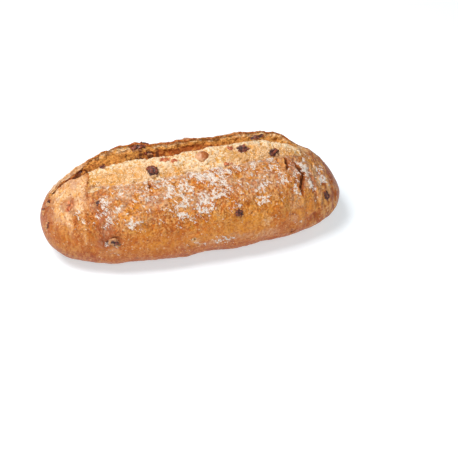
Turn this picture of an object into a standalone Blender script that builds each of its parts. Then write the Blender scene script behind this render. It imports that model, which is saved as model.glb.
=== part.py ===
"""A fruit bread: a long loaf baked with raisins and nuts, slashed once along its top.

The loaf is one solid. Its form is a tapered round section with a flat base, opened by the slash:
the front edge of the crust, the bloom of dough that rose through the cut, the groove behind it,
the torn face, and the ear, which is the flap of crust that lifted behind the cut.
Each raisin, nut and bit of dried fruit that shows is a solid of its own, seated in a pocket of
the loaf with a small gap all round.

A place on the loaf is a station and an angle. The station runs from -1 at the left tip to 1 at
the right one. The angle goes round the section's centre, in degrees from straight up, and is
positive towards the front.

Metres, +Z up. The origin is at the middle of the base, +X runs along the loaf and -Y is its front.
"""

import math

import bmesh
import bpy
from mathutils import Matrix, Vector, noise

MM = 0.001

# The loaf before the slash
LENGTH = 268.5 * MM
FRONT_HALF_WIDTH = 57.5 * MM
BACK_HALF_WIDTH = 53 * MM
CROWN_HEIGHT = 77.5 * MM
TIP_HEIGHT = 27.5 * MM
TIP_DROP = 3.5 * MM  # the right tip is this much lower than the mean of both
BASE_SINK = 4 * MM  # how far the round section would reach under the flat base
WIDEST_SHARE = 0.45  # height of the widest level, as a share of the crown's
BOW = 2 * MM  # the tips lie this much forward of the middle
THINNING = 0.014  # the right half is slimmer by this share
UPPER_ROUNDNESS = 2.2
LOWER_ROUNDNESS = 2.4

# Power and root of each taper, for the left and the right half
PLAN_TAPER = ((2.8, 2.35), (2.7, 2.3))
PROFILE_TAPER = ((3.4, 1.6), (3.4, 1.6))
BASE_TAPER = ((6.0, 2.0), (6.0, 2.0))

# The slash, as (station, value) pairs; angles in degrees, heights in millimetres
EDGE_ANGLE = (
    (-0.94, -40), (-0.81, -20), (-0.71, 8), (-0.61, 20), (-0.41, 27),
    (0.00, 25), (0.30, 22), (0.55, 15), (0.78, 5),
)
GROOVE_ANGLE = (
    (-0.96, -58), (-0.85, -37), (-0.71, -30), (-0.41, -28), (0.10, -27),
    (0.50, -28.5), (0.74, -23), (0.85, -20),
)
EAR_HEIGHT = (
    (-0.98, 0.0), (-0.86, 3.0), (-0.73, 5.5), (-0.56, 7.0), (-0.35, 8.6), (-0.27, 5.8),
    (-0.11, 5.4), (0.10, 4.6), (0.30, 4.4), (0.50, 5.6), (0.64, 6.4), (0.71, 2.6), (0.80, 0.0),
)
GROOVE_DEPTH = (
    (-0.98, 0.0), (-0.86, 2.0), (-0.61, 4.5), (-0.31, 6.5), (0.20, 6.0),
    (0.50, 4.0), (0.72, 1.2), (0.82, 0.0),
)
BLOOM_RISE = ((-0.80, 0.0), (-0.60, 1.4), (-0.20, 2.6), (0.30, 2.6), (0.60, 1.8), (0.80, 0.0))
EDGE_STEP = ((-0.80, 0.0), (-0.70, 1.0), (-0.30, 1.6), (0.50, 1.6), (0.70, 1.0), (0.82, 0.0))
LIP_ANGLE = 1.6
TEAR_ANGLE = 4.0
EAR_SPREAD = 26.0
BASE_CORNER = 128.0
LIP_CURL = (0.35, 0.90)  # share of the step that the crust's edge curls up, and where that starts
STEP_END = 0.30  # share of the bloom over which it rises from the step
SWELL = (0.92, 0.80)  # share of the bloom that swells, and how far its crest leans to the front
GROOVE_FALL = (0.55, 1.4)  # share of the bloom where it turns down to the groove, and how sharply
EAR_FALL = 1.5  # how sharply the ear's back falls from its edge
OPEN_EAR = 3.0  # millimetres of ear from which the slash counts as open

# Unevenness of each zone: (size of the bumps, height) in millimetres
CRUST_LUMPS = ((27.0, 1.5), (12.0, 0.7))
BLOOM_LUMPS = ((8.0, 1.5), (4.5, 0.5))
TEAR_LUMPS = ((7.0, 1.8),)
EAR_RAGGED = ((9.0, 1.6),)
EDGE_WANDER = (11.0, 2.4)  # millimetres along the loaf, degrees
SEEDS = {"crust": 0.0, "bloom": 20.0, "tear": 40.0, "ear": 60.0}
FRUIT_SEEDS = {"raisin": 0.0, "dried_fruit": 300.0, "nut": 500.0}
SEED_STEP = 5.0  # from one piece of a kind to the next

# Soft folds of the crust round the ends:
# station, drift of the station over 90 degrees, first and last angle, half width, depth
FOLDS = (
    (-0.715, 0.020, 25, 105, 3.0, 0.9),
    (-0.800, -0.030, 15, 90, 3.2, 0.7),
    (-0.880, 0.020, 20, 100, 2.8, 0.7),
    (-0.780, 0.010, -110, -60, 3.4, 0.8),
    (0.700, -0.020, 60, 115, 3.0, 0.9),
    (0.780, 0.015, 25, 110, 3.2, 0.9),
    (0.900, 0.010, 40, 105, 2.6, 0.7),
    (0.760, 0.020, -105, -45, 3.4, 0.9),
)

# Cracks of the crust: width and depth in the middle, then the places that each one runs through
CRACK_TOP = 2.0  # millimetres that their cutters stand out of the surface
CRACKS = (
    (2.6, 3.0, ((0.600, 12), (0.606, 20), (0.594, 33))),
    (3.4, 3.6, ((0.645, 24), (0.668, 34), (0.682, 43), (0.660, 52), (0.652, 60), (0.664, 68))),
    (2.2, 2.0, ((0.560, 111), (0.590, 107), (0.622, 103))),
    (1.8, 1.8, ((-0.668, -3), (-0.690, 8), (-0.705, 19), (-0.708, 31))),
    (2.4, 2.4, ((-0.322, 27), (-0.316, 32), (-0.322, 37))),
)

# Fruit on the front and top: place, (length, width, height), turn from the loaf's run,
# and the share of the height that stands out of the loaf
RAISINS = (
    (-0.308, -30.0, (17.0, 8.0, 7.5), -6, 0.40),
    (-0.700, -30.5, (8.5, 6.5, 5.5), 14, 0.36),
    (0.481, -31.0, (12.5, 6.0, 5.5), -6, 0.32),
    (-0.280, 17.0, (11.5, 10.5, 8.0), -30, 0.40),
    (0.331, 3.0, (13.5, 8.5, 6.5), 8, 0.38),
    (0.536, 7.6, (13.0, 7.5, 6.5), 24, 0.40),
    (0.216, 72.0, (9.5, 7.0, 5.5), -28, 0.28),
    (0.845, 71.0, (12.5, 8.0, 6.0), -70, 0.26),
    (-0.972, 62.0, (10.0, 7.0, 5.5), 80, 0.26),
    (-0.937, -14.0, (8.0, 6.5, 5.5), 10, 0.30),
    (-0.977, -24.0, (9.0, 6.5, 5.5), 60, 0.26),
    (-0.248, -29.2, (9.0, 5.5, 5.0), 0, 0.36),
    (-0.671, 42.0, (10.0, 8.0, 5.0), 15, 0.24),
    (-0.580, -9.0, (8.5, 6.5, 5.5), 0, 0.32),
    (-0.599, 83.0, (9.5, 8.5, 5.5), 0, 0.20),
)
DRIED_FRUITS = (
    (-0.190, 3.6, (9.5, 6.0, 4.5), 4, 0.32),
    (-0.126, 8.6, (5.5, 5.0, 4.0), -10, 0.32),
    (0.212, 19.0, (12.0, 5.0, 4.5), 8, 0.28),
    (0.255, 1.0, (5.5, 5.5, 4.5), 0, 0.36),
    (-0.838, 33.0, (11.0, 6.5, 4.5), 84, 0.20),
)
NUTS = ((0.055, 7.0, (14.0, 12.0, 11.5), 10, 0.38),)

# Raisins on the back follow a rule: their number, the first and last value of each measure, and
# the share of a full step by which that measure moves on from one raisin to the next
BACK_RAISINS = 9
BACK_STATIONS = (-0.86, 0.88)
BACK_ANGLES = (-112.0, -66.0, 0.618)
BACK_LENGTHS = (8.5, 12.5, 0.37)
BACK_TURNS = (0.0, 180.0, 0.29)
BACK_PROUD = (0.22, 0.34, 0.45)
BACK_GIRTH = (7.0, 5.5)  # width and height

SEAT_GAP = 0.35  # millimetres between a piece and its pocket
RAISIN_WRINKLE = (3.6, 0.30)  # millimetres, share of the radius
NUT_WRINKLE = (9.0, 0.06)
FRAME_REACH = 5 * MM  # over which the surface's slope is read
TIP_STATION = 0.999  # the slope is read no nearer to the tips than this

# Columns round the section, from under the middle by the front to under the middle again
COLUMNS = (
    ("base_front", 4), ("front", 14), ("lip", 1), ("bloom", 8), ("tear", 3),
    ("ear_back", 5), ("back", 8), ("base_back", 4),
)
ZONES = tuple(name for name, _ in COLUMNS)
STATIONS = 74

# Base colour, roughness and metallic value of each material
FINISHES = {
    "crust": ((0.56, 0.23, 0.06), 0.45, 0.0),
    "crumb": ((0.82, 0.56, 0.28), 0.85, 0.0),
    "raisin": ((0.055, 0.012, 0.010), 0.38, 0.0),
    "dried_fruit": ((0.42, 0.07, 0.02), 0.40, 0.0),
    "nut": ((0.40, 0.17, 0.06), 0.50, 0.0),
}


def material(name):
    """The material of that name, made on its first use."""
    found = bpy.data.materials.get(name)
    if found:
        return found
    colour, roughness, metallic = FINISHES[name]
    made = bpy.data.materials.new(name)
    made.use_nodes = True
    surface = made.node_tree.nodes["Principled BSDF"]
    surface.inputs["Base Color"].default_value = (*colour, 1.0)
    surface.inputs["Roughness"].default_value = roughness
    surface.inputs["Metallic"].default_value = metallic
    made.diffuse_color = (*colour, 1.0)
    made.roughness = roughness
    return made


def ease(low, high, value):
    """0 below low, 1 above high, and a smooth rise between them."""
    s = min(max((value - low) / (high - low), 0.0), 1.0)
    return s * s * (3 - 2 * s)


def curve(pairs, t):
    """The smooth curve through (station, value) pairs, held level beyond its ends."""
    stations = [pair[0] for pair in pairs]
    values = [pair[1] for pair in pairs]
    if t <= stations[0]:
        return values[0]
    if t >= stations[-1]:
        return values[-1]
    i = max(k for k, station in enumerate(stations) if station <= t)
    last = len(pairs) - 1

    def slope(k):
        before, after = max(k - 1, 0), min(k + 1, last)
        return (values[after] - values[before]) / (stations[after] - stations[before])

    span = stations[i + 1] - stations[i]
    s = (t - stations[i]) / span
    start = (1 + 2 * s) * (1 - s) ** 2 * values[i] + s * (1 - s) ** 2 * span * slope(i)
    end = s * s * (3 - 2 * s) * values[i + 1] + s * s * (s - 1) * span * slope(i + 1)
    return start + end


def lumps(bumps, point, seed):
    """Height of the unevenness at a point: a sum of noises, in the unit of the bumps' heights."""
    total = 0.0
    for k, (size, height) in enumerate(bumps):
        total += height * noise.noise(point / (size * MM) + Vector((seed, 7.3 * k, 0.0)))
    return total


def taper(t, halves):
    """Share of the full size that is left at a station."""
    power, root = halves[0] if t < 0 else halves[1]
    return max(1 - abs(t) ** power, 0.0) ** (1 / root)


def section_centre(t):
    """Height of the section's centre, about which its angles are measured."""
    tip = TIP_HEIGHT - TIP_DROP * t
    return tip + (WIDEST_SHARE * CROWN_HEIGHT - tip) * taper(t, PROFILE_TAPER)


def crust_radius(t, angle):
    """Radius of the loaf before the slash, round the section's centre."""
    tip = TIP_HEIGHT - TIP_DROP * t
    crown = tip + (CROWN_HEIGHT * (1 - THINNING * t) - tip) * taper(t, PROFILE_TAPER)
    base = tip - (tip + BASE_SINK) * taper(t, BASE_TAPER)
    centre = section_centre(t)
    width = FRONT_HALF_WIDTH if angle > 0 else BACK_HALF_WIDTH
    half_width = max(width * taper(t, PLAN_TAPER) * (1 - THINNING * t), 1e-6)
    rise = math.cos(math.radians(angle))
    half_height = max(crown - centre if rise > 0 else centre - base, 1e-6)
    n = UPPER_ROUNDNESS if rise > 0 else LOWER_ROUNDNESS
    across = abs(math.sin(math.radians(angle))) / half_width
    return (across**n + (abs(rise) / half_height) ** n) ** (-1 / n)


def zone_limits(t):
    """The angles that part the section's zones at a station, in the order of ZONES."""
    size, degrees = EDGE_WANDER
    along = Vector((t * LENGTH / 2 / (size * MM), 0.0, 0.0))
    groove = curve(GROOVE_ANGLE, t) + 0.5 * degrees * noise.noise(along + Vector((0, 3.1, 0)))
    edge = curve(EDGE_ANGLE, t) + degrees * noise.noise(along)
    edge = max(edge, groove + 3 * LIP_ANGLE)
    ear = groove - TEAR_ANGLE
    back = ear - EAR_SPREAD
    return (180, BASE_CORNER, edge, edge - LIP_ANGLE, groove, ear, back, -BASE_CORNER, -180)


def slash_offset(zone, t, u):
    """How far the slash lifts or sinks the surface at share u of a zone, in millimetres."""
    depth = curve(GROOVE_DEPTH, t)
    ear = curve(EAR_HEIGHT, t)
    step = curve(EDGE_STEP, t)
    curl, curl_start = LIP_CURL
    if zone == "front":
        return curl * step * ease(curl_start, 1.0, u)
    if zone == "lip":
        return step * (curl - (1 + curl) * u)
    if zone == "bloom":
        share, lean = SWELL
        fall_start, fall_power = GROOVE_FALL
        swell = (curve(BLOOM_RISE, t) + step) * math.sin(math.pi * min(u / share, 1.0) ** lean)
        fall = depth * ease(fall_start, 1.0, u) ** fall_power
        return swell - step * (1 - ease(0.0, STEP_END, u)) - fall
    if zone == "tear":
        return -depth + (depth + ear) * u
    if zone == "ear_back":
        return ear * (1 - u) ** EAR_FALL
    return 0.0


def fold_depth(t, angle):
    """Depth of the crust's soft folds at a place, in millimetres."""
    total = 0.0
    for station, drift, first, last, half_width, depth in FOLDS:
        middle = station + drift * (angle - first) / 90
        away = (t - middle) * LENGTH / 2 / (half_width * MM)
        if abs(away) < 3:
            window = ease(first, first + 15, angle) * (1 - ease(last - 15, last, angle))
            total += depth * math.exp(-away * away) * window
    return total


def relief(zone, t, u, angle, point):
    """Unevenness of the surface at a place, in millimetres."""
    height = lumps(CRUST_LUMPS, point, SEEDS["crust"]) - fold_depth(t, angle)
    within = math.sin(math.pi * u) * ease(0.0, OPEN_EAR, curve(EAR_HEIGHT, t))
    if zone == "bloom":
        height += lumps(BLOOM_LUMPS, point, SEEDS["bloom"]) * within
    if zone == "tear":
        height += lumps(TEAR_LUMPS, point, SEEDS["tear"]) * within
    if zone in ("tear", "ear_back"):
        near_edge = u if zone == "tear" else (1 - u) ** 2
        ragged = lumps(EAR_RAGGED, point, SEEDS["ear"])
        height += ragged * near_edge * ease(0.0, OPEN_EAR, curve(EAR_HEIGHT, t))
    return height


def place(t, angle, radius):
    """The point at that radius round the section's centre, kept above the base."""
    y = -radius * math.sin(math.radians(angle)) - BOW * (t * t - 0.33)
    z = section_centre(t) + radius * math.cos(math.radians(angle))
    return Vector((t * LENGTH / 2, y, max(z, 0.0)))


def surface_point(t, zone, u):
    """A point of the loaf's surface: station t, and share u of a zone of its section."""
    i = ZONES.index(zone)
    limits = zone_limits(t)
    angle = limits[i] + (limits[i + 1] - limits[i]) * u
    radius = crust_radius(t, angle)
    fade = min(taper(t, PLAN_TAPER) * 2, 1.0) * MM
    bare = place(t, angle, radius)
    radius += (slash_offset(zone, t, u) + relief(zone, t, u, angle, bare)) * fade
    return place(t, angle, max(radius, 0.1 * MM))


def surface_at(t, angle):
    """The point of the loaf's surface at a station and an angle."""
    limits = zone_limits(t)
    i = next(k for k in range(len(ZONES)) if angle >= limits[k + 1])
    return surface_point(t, ZONES[i], (limits[i] - angle) / (limits[i] - limits[i + 1]))


def surface_frame(t, angle):
    """Axes along the loaf, round its section and outwards at a place, read over a small reach."""
    dt = FRAME_REACH / (LENGTH / 2)
    da = math.degrees(FRAME_REACH / crust_radius(t, angle))
    t_low, t_high = max(t - dt, -TIP_STATION), min(t + dt, TIP_STATION)
    along = surface_at(t_high, angle) - surface_at(t_low, angle)
    round_it = surface_at(t, angle - da) - surface_at(t, angle + da)
    outward = along.cross(round_it).normalized()
    along = (along - outward * along.dot(outward)).normalized()
    return Matrix((along, outward.cross(along), outward)).transposed()


def add_object(name, mesh, materials, cutter=None):
    """The bmesh as an object, with its materials, shown as a solid or kept as a cutter."""
    data = bpy.data.meshes.new(name)
    mesh.to_mesh(data)
    mesh.free()
    data.shade_smooth()
    for each in materials:
        data.materials.append(material(each))
    made = bpy.data.objects.new(name, data)
    if cutter:
        cutter.objects.link(made)
        made.hide_render = True
        made.display_type = "WIRE"
    else:
        bpy.context.scene.collection.objects.link(made)
    return made


def stations():
    """Stations of the sections, closer together towards the tips."""
    return [math.sin(math.pi * (k / (STATIONS - 1) - 0.5)) for k in range(STATIONS)]


def make_loaf():
    """The loaf's surface, closed by a point at each tip; crumb shows where the slash opened it."""
    mesh = bmesh.new()
    steps = [(zone, k / count) for zone, count in COLUMNS for k in range(count)]
    ts = stations()
    left = mesh.verts.new(surface_at(-1, 90))
    right = mesh.verts.new(surface_at(1, 90))
    rings = [[mesh.verts.new(surface_point(t, zone, u)) for zone, u in steps] for t in ts[1:-1]]
    for t, a, b in zip(ts[1:], rings, rings[1:]):
        for k in range(len(a)):
            face = mesh.faces.new((a[k], a[k - 1], b[k - 1], b[k]))
            opened = steps[k - 1][0] in ("lip", "bloom", "tear")
            face.material_index = int(opened and curve(EAR_HEIGHT, t) > OPEN_EAR)
    for k in range(len(steps)):
        mesh.faces.new((rings[0][k - 1], rings[0][k], left))
        mesh.faces.new((rings[-1][k], rings[-1][k - 1], right))
    bmesh.ops.recalc_face_normals(mesh, faces=mesh.faces)
    return add_object("loaf", mesh, ("crust", "crumb"))


def fruit_mesh(size, wrinkle, seed, grown=0.0):
    """A wrinkled ball of the given size in millimetres, grown by a margin."""
    mesh = bmesh.new()
    bmesh.ops.create_icosphere(mesh, subdivisions=2, radius=1.0)
    wave, share = wrinkle
    half = Vector(size) / 2
    for vert in mesh.verts:
        bare = Vector(vert.co[i] * half[i] for i in range(3))
        swell = 1 + share * noise.noise(bare / wave + Vector((seed, 0.0, 0.0)))
        vert.co = (bare * swell + bare.normalized() * grown) * MM
    return mesh


def make_fruits(kind, spots, wrinkle, cutters):
    """Pieces of one kind of fruit in their places, and the pockets they sit in."""
    for k, (t, angle, size, turn, proud) in enumerate(spots):
        name = f"{kind}_{k + 1:02d}"
        seed = FRUIT_SEEDS[kind] + SEED_STEP * k
        frame = surface_frame(t, angle)
        centre = surface_at(t, angle) + frame.col[2] * (proud - 0.5) * size[2] * MM
        turned = Matrix.Rotation(math.radians(turn), 4, "Z")
        pose = Matrix.Translation(centre) @ frame.to_4x4() @ turned
        add_object(name, fruit_mesh(size, wrinkle, seed), (kind,)).matrix_world = pose
        pocket = fruit_mesh(size, wrinkle, seed, SEAT_GAP)
        add_object(f"pocket_{name}", pocket, ("crust",), cutters).matrix_world = pose


def back_spots():
    """Places, sizes, turns and seats of the raisins on the back."""

    def spread(measure, k):
        first, last, step = measure
        return first + (last - first) * (k * step % 1)

    for k in range(BACK_RAISINS):
        t = BACK_STATIONS[0] + (BACK_STATIONS[1] - BACK_STATIONS[0]) * (k + 0.5) / BACK_RAISINS
        size = (spread(BACK_LENGTHS, k), *BACK_GIRTH)
        yield t, spread(BACK_ANGLES, k), size, spread(BACK_TURNS, k), spread(BACK_PROUD, k)


def crack_path(spots):
    """The places of a crack, with the middle of each stretch between them."""
    path = [spots[0]]
    for a, b in zip(spots, spots[1:]):
        path.append(((a[0] + b[0]) / 2, (a[1] + b[1]) / 2))
        path.append(b)
    return path


def make_crack(name, width, depth, spots, cutters):
    """A cutter for a crack: a narrow wedge along the surface, closing to a point at both ends."""
    path = crack_path(spots)
    points = [surface_at(*spot) for spot in path]
    outward = [surface_frame(*spot).col[2] for spot in path]
    mesh = bmesh.new()
    rings = []
    for k in range(1, len(path) - 1):
        full = math.sin(math.pi * k / (len(path) - 1)) ** 0.6
        run = points[k + 1] - points[k - 1]
        side = run.cross(outward[k]).normalized() * width / 2 * full * (1 + CRACK_TOP / depth) * MM
        top = points[k] + outward[k] * CRACK_TOP * MM
        bottom = points[k] - outward[k] * depth * full * MM
        rings.append([mesh.verts.new(corner) for corner in (top + side, top - side, bottom)])
    for a, b in zip(rings, rings[1:]):
        for k in range(3):
            mesh.faces.new((a[k], a[k - 1], b[k - 1], b[k]))
    for end, ring in ((0, rings[0]), (-1, rings[-1])):
        tip = mesh.verts.new(points[end] + outward[end] * CRACK_TOP / 2 * MM)
        for k in range(3):
            mesh.faces.new((ring[k - 1], ring[k], tip))
    bmesh.ops.recalc_face_normals(mesh, faces=mesh.faces)
    add_object(name, mesh, ("crust",), cutters)


def centre_on_base():
    """Move everything so that the origin is at the middle of the bounding box, at the base."""
    solids = [each for each in bpy.context.scene.objects if not each.hide_render]
    corners = [each.matrix_world @ vert.co for each in solids for vert in each.data.vertices]
    middle = [(min(p[i] for p in corners) + max(p[i] for p in corners)) / 2 for i in range(2)]
    shift = Matrix.Translation((-middle[0], -middle[1], 0.0))
    for each in bpy.context.scene.objects:
        each.matrix_world = shift @ each.matrix_world


def main():
    for old in list(bpy.data.objects):
        bpy.data.objects.remove(old)
    cutters = bpy.data.collections.new("cutters")
    bpy.context.scene.collection.children.link(cutters)
    loaf = make_loaf()
    make_fruits("raisin", (*RAISINS, *back_spots()), RAISIN_WRINKLE, cutters)
    make_fruits("dried_fruit", DRIED_FRUITS, RAISIN_WRINKLE, cutters)
    make_fruits("nut", NUTS, NUT_WRINKLE, cutters)
    for k, (width, depth, spots) in enumerate(CRACKS):
        make_crack(f"crack_{k + 1:02d}", width, depth, spots, cutters)
    cut = loaf.modifiers.new("pockets", "BOOLEAN")
    cut.operation = "DIFFERENCE"
    cut.operand_type = "COLLECTION"
    cut.collection = cutters
    cut.solver = "EXACT"
    centre_on_base()


main()
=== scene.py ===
"""A fruit bread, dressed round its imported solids.

The loaf's skin, its raisins, its bits of dried fruit and its nut each stand for their solids, and
add what the solids leave out: the crumb in the slash, fine folds, cracks and blisters of the
crust, flour, and crumbs on the torn dough.

A place on the loaf is a station and an angle. The station runs from -1 at the left tip to 1 at
the right one. The angle goes round the section's centre, in degrees from straight up, and is
positive towards the front.

Metres, +Z up, unless a name or a comment says millimetres.
"""

import math

import bmesh
import bpy
from mathutils import Matrix, Vector, noise
from mathutils.bvhtree import BVHTree


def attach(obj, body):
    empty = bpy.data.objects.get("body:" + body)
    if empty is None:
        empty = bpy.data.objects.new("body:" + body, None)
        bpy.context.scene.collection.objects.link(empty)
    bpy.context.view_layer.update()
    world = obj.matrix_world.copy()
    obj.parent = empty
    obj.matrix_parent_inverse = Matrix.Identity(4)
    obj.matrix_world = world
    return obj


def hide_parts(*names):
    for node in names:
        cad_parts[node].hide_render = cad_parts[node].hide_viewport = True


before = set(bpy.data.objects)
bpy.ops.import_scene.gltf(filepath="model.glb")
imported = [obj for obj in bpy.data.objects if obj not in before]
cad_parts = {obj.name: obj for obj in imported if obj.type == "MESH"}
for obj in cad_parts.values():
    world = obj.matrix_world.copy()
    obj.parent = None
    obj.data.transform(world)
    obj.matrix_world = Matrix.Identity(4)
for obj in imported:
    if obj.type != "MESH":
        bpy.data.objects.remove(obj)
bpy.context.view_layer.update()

bl_info = {
    "name": "Fruit Bread",
    "version": (1, 0, 0),
    "blender": (4, 5, 0),
    "location": "3D View > Sidebar > Bread",
    "description": "Dresses the solids of a fruit bread with crust, crumb, fruit and flour",
    "category": "Object",
}

MM = 0.001
TINY = 1e-6
WELD = 0.01 * MM
BODY = "root"

# The loaf before the slash
LENGTH = 268.5 * MM
FRONT_HALF_WIDTH = 57.5 * MM
BACK_HALF_WIDTH = 53 * MM
CROWN_HEIGHT = 77.5 * MM
TIP_HEIGHT = 27.5 * MM
TIP_DROP = 3.5 * MM  # the right tip is this much lower than the mean of both
BASE_SINK = 4 * MM  # how far the round section would reach under the flat base
WIDEST_SHARE = 0.45  # height of the widest level, as a share of the crown's
BOW = 2 * MM  # the tips lie this much forward of the middle
BOW_MEAN = 0.33
THINNING = 0.014  # the right half is slimmer by this share
TIP_FADE = 2  # all relief fades out where the loaf is narrower than one part in so many
UPPER_ROUNDNESS = 2.2
LOWER_ROUNDNESS = 2.4

# Power and root of each taper, for the left and the right half
PLAN_TAPER = ((2.8, 2.35), (2.7, 2.3))
PROFILE_TAPER = ((3.4, 1.6), (3.4, 1.6))
BASE_TAPER = ((6, 2), (6, 2))

# The slash, as (station, value) pairs; angles in degrees, heights in millimetres
EDGE_ANGLE = (
    (-0.94, -40), (-0.81, -20), (-0.71, 8), (-0.61, 20), (-0.41, 27), (0, 25), (0.3, 22),
    (0.55, 15), (0.78, 5),
)
GROOVE_ANGLE = (
    (-0.96, -42), (-0.9, -26), (-0.84, -23), (-0.71, -24.5), (-0.55, -26.5), (-0.41, -27.5),
    (-0.18, -25), (0.1, -26.5), (0.5, -28.5), (0.74, -23), (0.85, -20),
)
EAR_HEIGHT = (
    (-0.98, 0), (-0.86, 3), (-0.73, 5.5), (-0.56, 7), (-0.35, 8.6), (-0.27, 5.8), (-0.11, 5.4),
    (0.1, 4.6), (0.3, 4.4), (0.5, 5.6), (0.64, 6.4), (0.71, 2.6), (0.8, 0),
)
GROOVE_DEPTH = (
    (-0.98, 0), (-0.86, 2), (-0.61, 4.5), (-0.31, 6.5), (0.2, 6), (0.5, 4), (0.72, 1.2), (0.82, 0),
)
BLOOM_RISE = ((-0.8, 0), (-0.6, 1.4), (-0.2, 2.6), (0.3, 2.6), (0.6, 1.8), (0.8, 0))
EDGE_STEP = ((-0.8, 0), (-0.7, 1), (-0.3, 1.6), (0.5, 1.6), (0.7, 1), (0.82, 0))
LIP_ANGLE = 1.6
LEAST_BLOOM = 3 * LIP_ANGLE
TEAR_ANGLE = 4
EAR_SPREAD = 26
BASE_CORNER = 128
LEAST_RADIUS = 0.1 * MM
LIP_CURL = (0.35, 0.9)  # share of the step that the crust's edge curls up, and where that starts
STEP_END = 0.3  # share of the bloom over which it rises from the step
SWELL = (0.92, 0.8)  # share of the bloom that swells, and how far its crest leans to the front
GROOVE_FALL = (0.55, 1.4)  # share of the bloom where it turns down to the groove, and how sharply
TEAR_ROUNDING = 1.7  # how soon the torn face turns over into the ear's rounded edge
EAR_FALL = 1.5  # how sharply the ear's back falls from its edge
EAR_LEAN = 0.9  # millimetres that the ear's edge hangs over the torn face
LEAN_FACE = (0.5, 0.85)  # between which shares of the face that starts
LEAN_BACK = 0.15  # up to which share of the ear's back it goes on
OPEN_EAR = 3  # millimetres of ear from which the slash counts as open

# Share of the torn face where its crumb ends and the crust's rolled edge starts, and how toasted
# that edge is, as (station, value) pairs
BAND_START = (
    (-0.95, 0.3), (-0.82, 0.32), (-0.74, 0.3), (-0.68, 0.38), (-0.6, 0.64), (-0.4, 0.76),
    (-0.3, 0.66), (0.35, 0.64), (0.6, 0.72), (0.75, 0.5),
)
BAND_WIDTH = 0.1
BAND_TOAST = (
    (-0.8, 0.12), (-0.71, 0.15), (-0.62, 0.42), (-0.38, 0.68), (0.02, 0.64), (0.18, 0.42),
    (0.32, 0.42), (0.5, 0.7), (0.72, 0.4),
)
BAND_PALE = (0.9, 1.6)  # how pale that edge is where it isn't toasted, and how toasting lowers it
BAND_HAZE = (0.5, 2)  # the same for its film of flour
# The crease under that edge: half width and place as shares of the face, and depth
NOTCH = (0.04, -0.02, 0.8)
# How much toasted colour lines that crease, partly as painted shade, and how the frays vary it
NOTCH_TOAST_AND_SHADE = (0.8, 0.6)
# How brown the torn face is at the groove, how brown it is under the crust's edge, and between
# which shares of the face that changes
FACE_BROWN = (
    (-0.9, 0.95), (-0.75, 0.95), (-0.6, 0.62), (-0.4, 0.46), (-0.26, 0.8), (-0.1, 0.9), (0.04, 0.9),
    (0.18, 0.8), (0.34, 0.5), (0.6, 0.36),
)
FACE_GOLDEN = 0.18
FACE_TURN = (0.2, 0.62)
# Where the groove reaches further into the bloom: how far, as a share of it, how deep, and
# between which shares of the bloom it dips
GROOVE_WIDE = (
    (-0.42, 0.1), (-0.3, 0.7), (-0.18, 1), (-0.1, 0.9), (0, 0.75), (0.14, 0.4), (0.3, 0.2),
    (0.45, 0),
)
GROOVE_REACH = 0.17
GROOVE_SINK = 6
GROOVE_DIP = (0.48, 1.12)
FACE_START = (0.94, 0.05)  # share of the bloom where the brown of the face starts, and how softly

# The crust's edge before the bloom: between which shares of the front it starts, how pale it is,
# and its flour and toast, which the frays vary
EDGE_START = (0.95, 0.985)
EDGE_PALE = 0.6
EDGE_HAZE = 0.6
EDGE_TOAST = 0.3
# The bloom's gold: how the frays vary it, what its front has more of, between which shares of it
BLOOM_GOLD = (0.3, 0.25, (0.05, 0.4))
EAR_EDGE = 0.25  # share of the ear's back that is its edge
# Frays of these borders: their size in millimetres, and their reach as a share of the zone
FRAY_SIZE = 3
FRAY = {"ends": 0.05, "front": 0.02, "bloom": 0.03, "tear": 0.06, "ear_back": 0.08}

# Pockets of painted shade in the groove: size and weight of their noises, the noise at which
# they start and its rise, how dark the painted shade is, and between which shares of the zone they
# end. A last value is what the left end adds, between these stations
POCKETS_LEFT = (-0.7, -0.45)
POCKET_NOISES = ((6, 1), (2.5, 0.5))
POCKET_START = (0.05, -0.5)
POCKET_RISE = 0.3
POCKET_SHADE = (0.6, 0.25)
POCKET_END = (0.06, 0.22, 0.12)
FACE_POCKETS = 0.8  # on the torn face they reach further by one part in so many

# Unevenness of each zone: (size of the bumps, height) in millimetres
CRUST_LUMPS = ((27, 1.5), (12, 0.7))
BLOOM_LUMPS = ((8, 1.5), (4.5, 0.5))
TEAR_LUMPS = ((7, 1.8),)
EAR_RAGGED = ((9, 1.6),)
LUMP_SEED = 7.3  # from one of its noises to the next
EDGE_WANDER = ((11, 2.4), (3.2, 0.9))  # millimetres along the loaf, degrees
GROOVE_WANDER = (0.5, 3.1)  # how much of that the groove wanders, and its seed
SEEDS = {
    "crust": 0, "bloom": 20, "tear": 40, "ear": 60, "crust_fine": 80, "blisters": 85, "crepe": 90,
    "wrinkles": 92, "strands": 95, "bloom_fine": 100, "pores": 105, "crack_along": 110,
    "crack_round": 120, "frays": 130, "caves": 140, "pockets": 150, "seats": 160, "bends": 170,
    "folds": 180,
}

# Finer unevenness, which the solid leaves out, in millimetres
CRUST_FINE = ((6, 0.8), (2.8, 0.5))
LOW_CRUST = (100, 60, 0.4)  # angles between which it grows, and its share on the low sides
BLOOM_FINE = ((4.2, 1), (2, 0.8))
BLOOM_CALM = (0.5, 0.85)  # how much flatter it gets at the groove, and from which share on
TEAR_CAVES = ((5, 2.8), (2.4, 1.6))
CAVE_EDGE = (-0.1, 0.6)  # noise at which a cave starts and is full
CAVE_WINDOW = (0.9, 0.7)  # share of the torn face that has caves, and how soon they are deep
EDGE_FINE = ((4.2, 0.35), (2, 0.1))
STRANDS = (2.6, 3, 0.4)  # size across, how much longer they are, height
CREPE = (3, 3.5, 0.55)  # the same for the crust, whose folds run round the loaf
RIDGE_SHAPE = (0.6, 2)  # height of a crest above the mean, and how steep it is
WRINKLES = (2.6, 1.7, 0.22)  # size, height, and height of a crest above the mean
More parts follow.
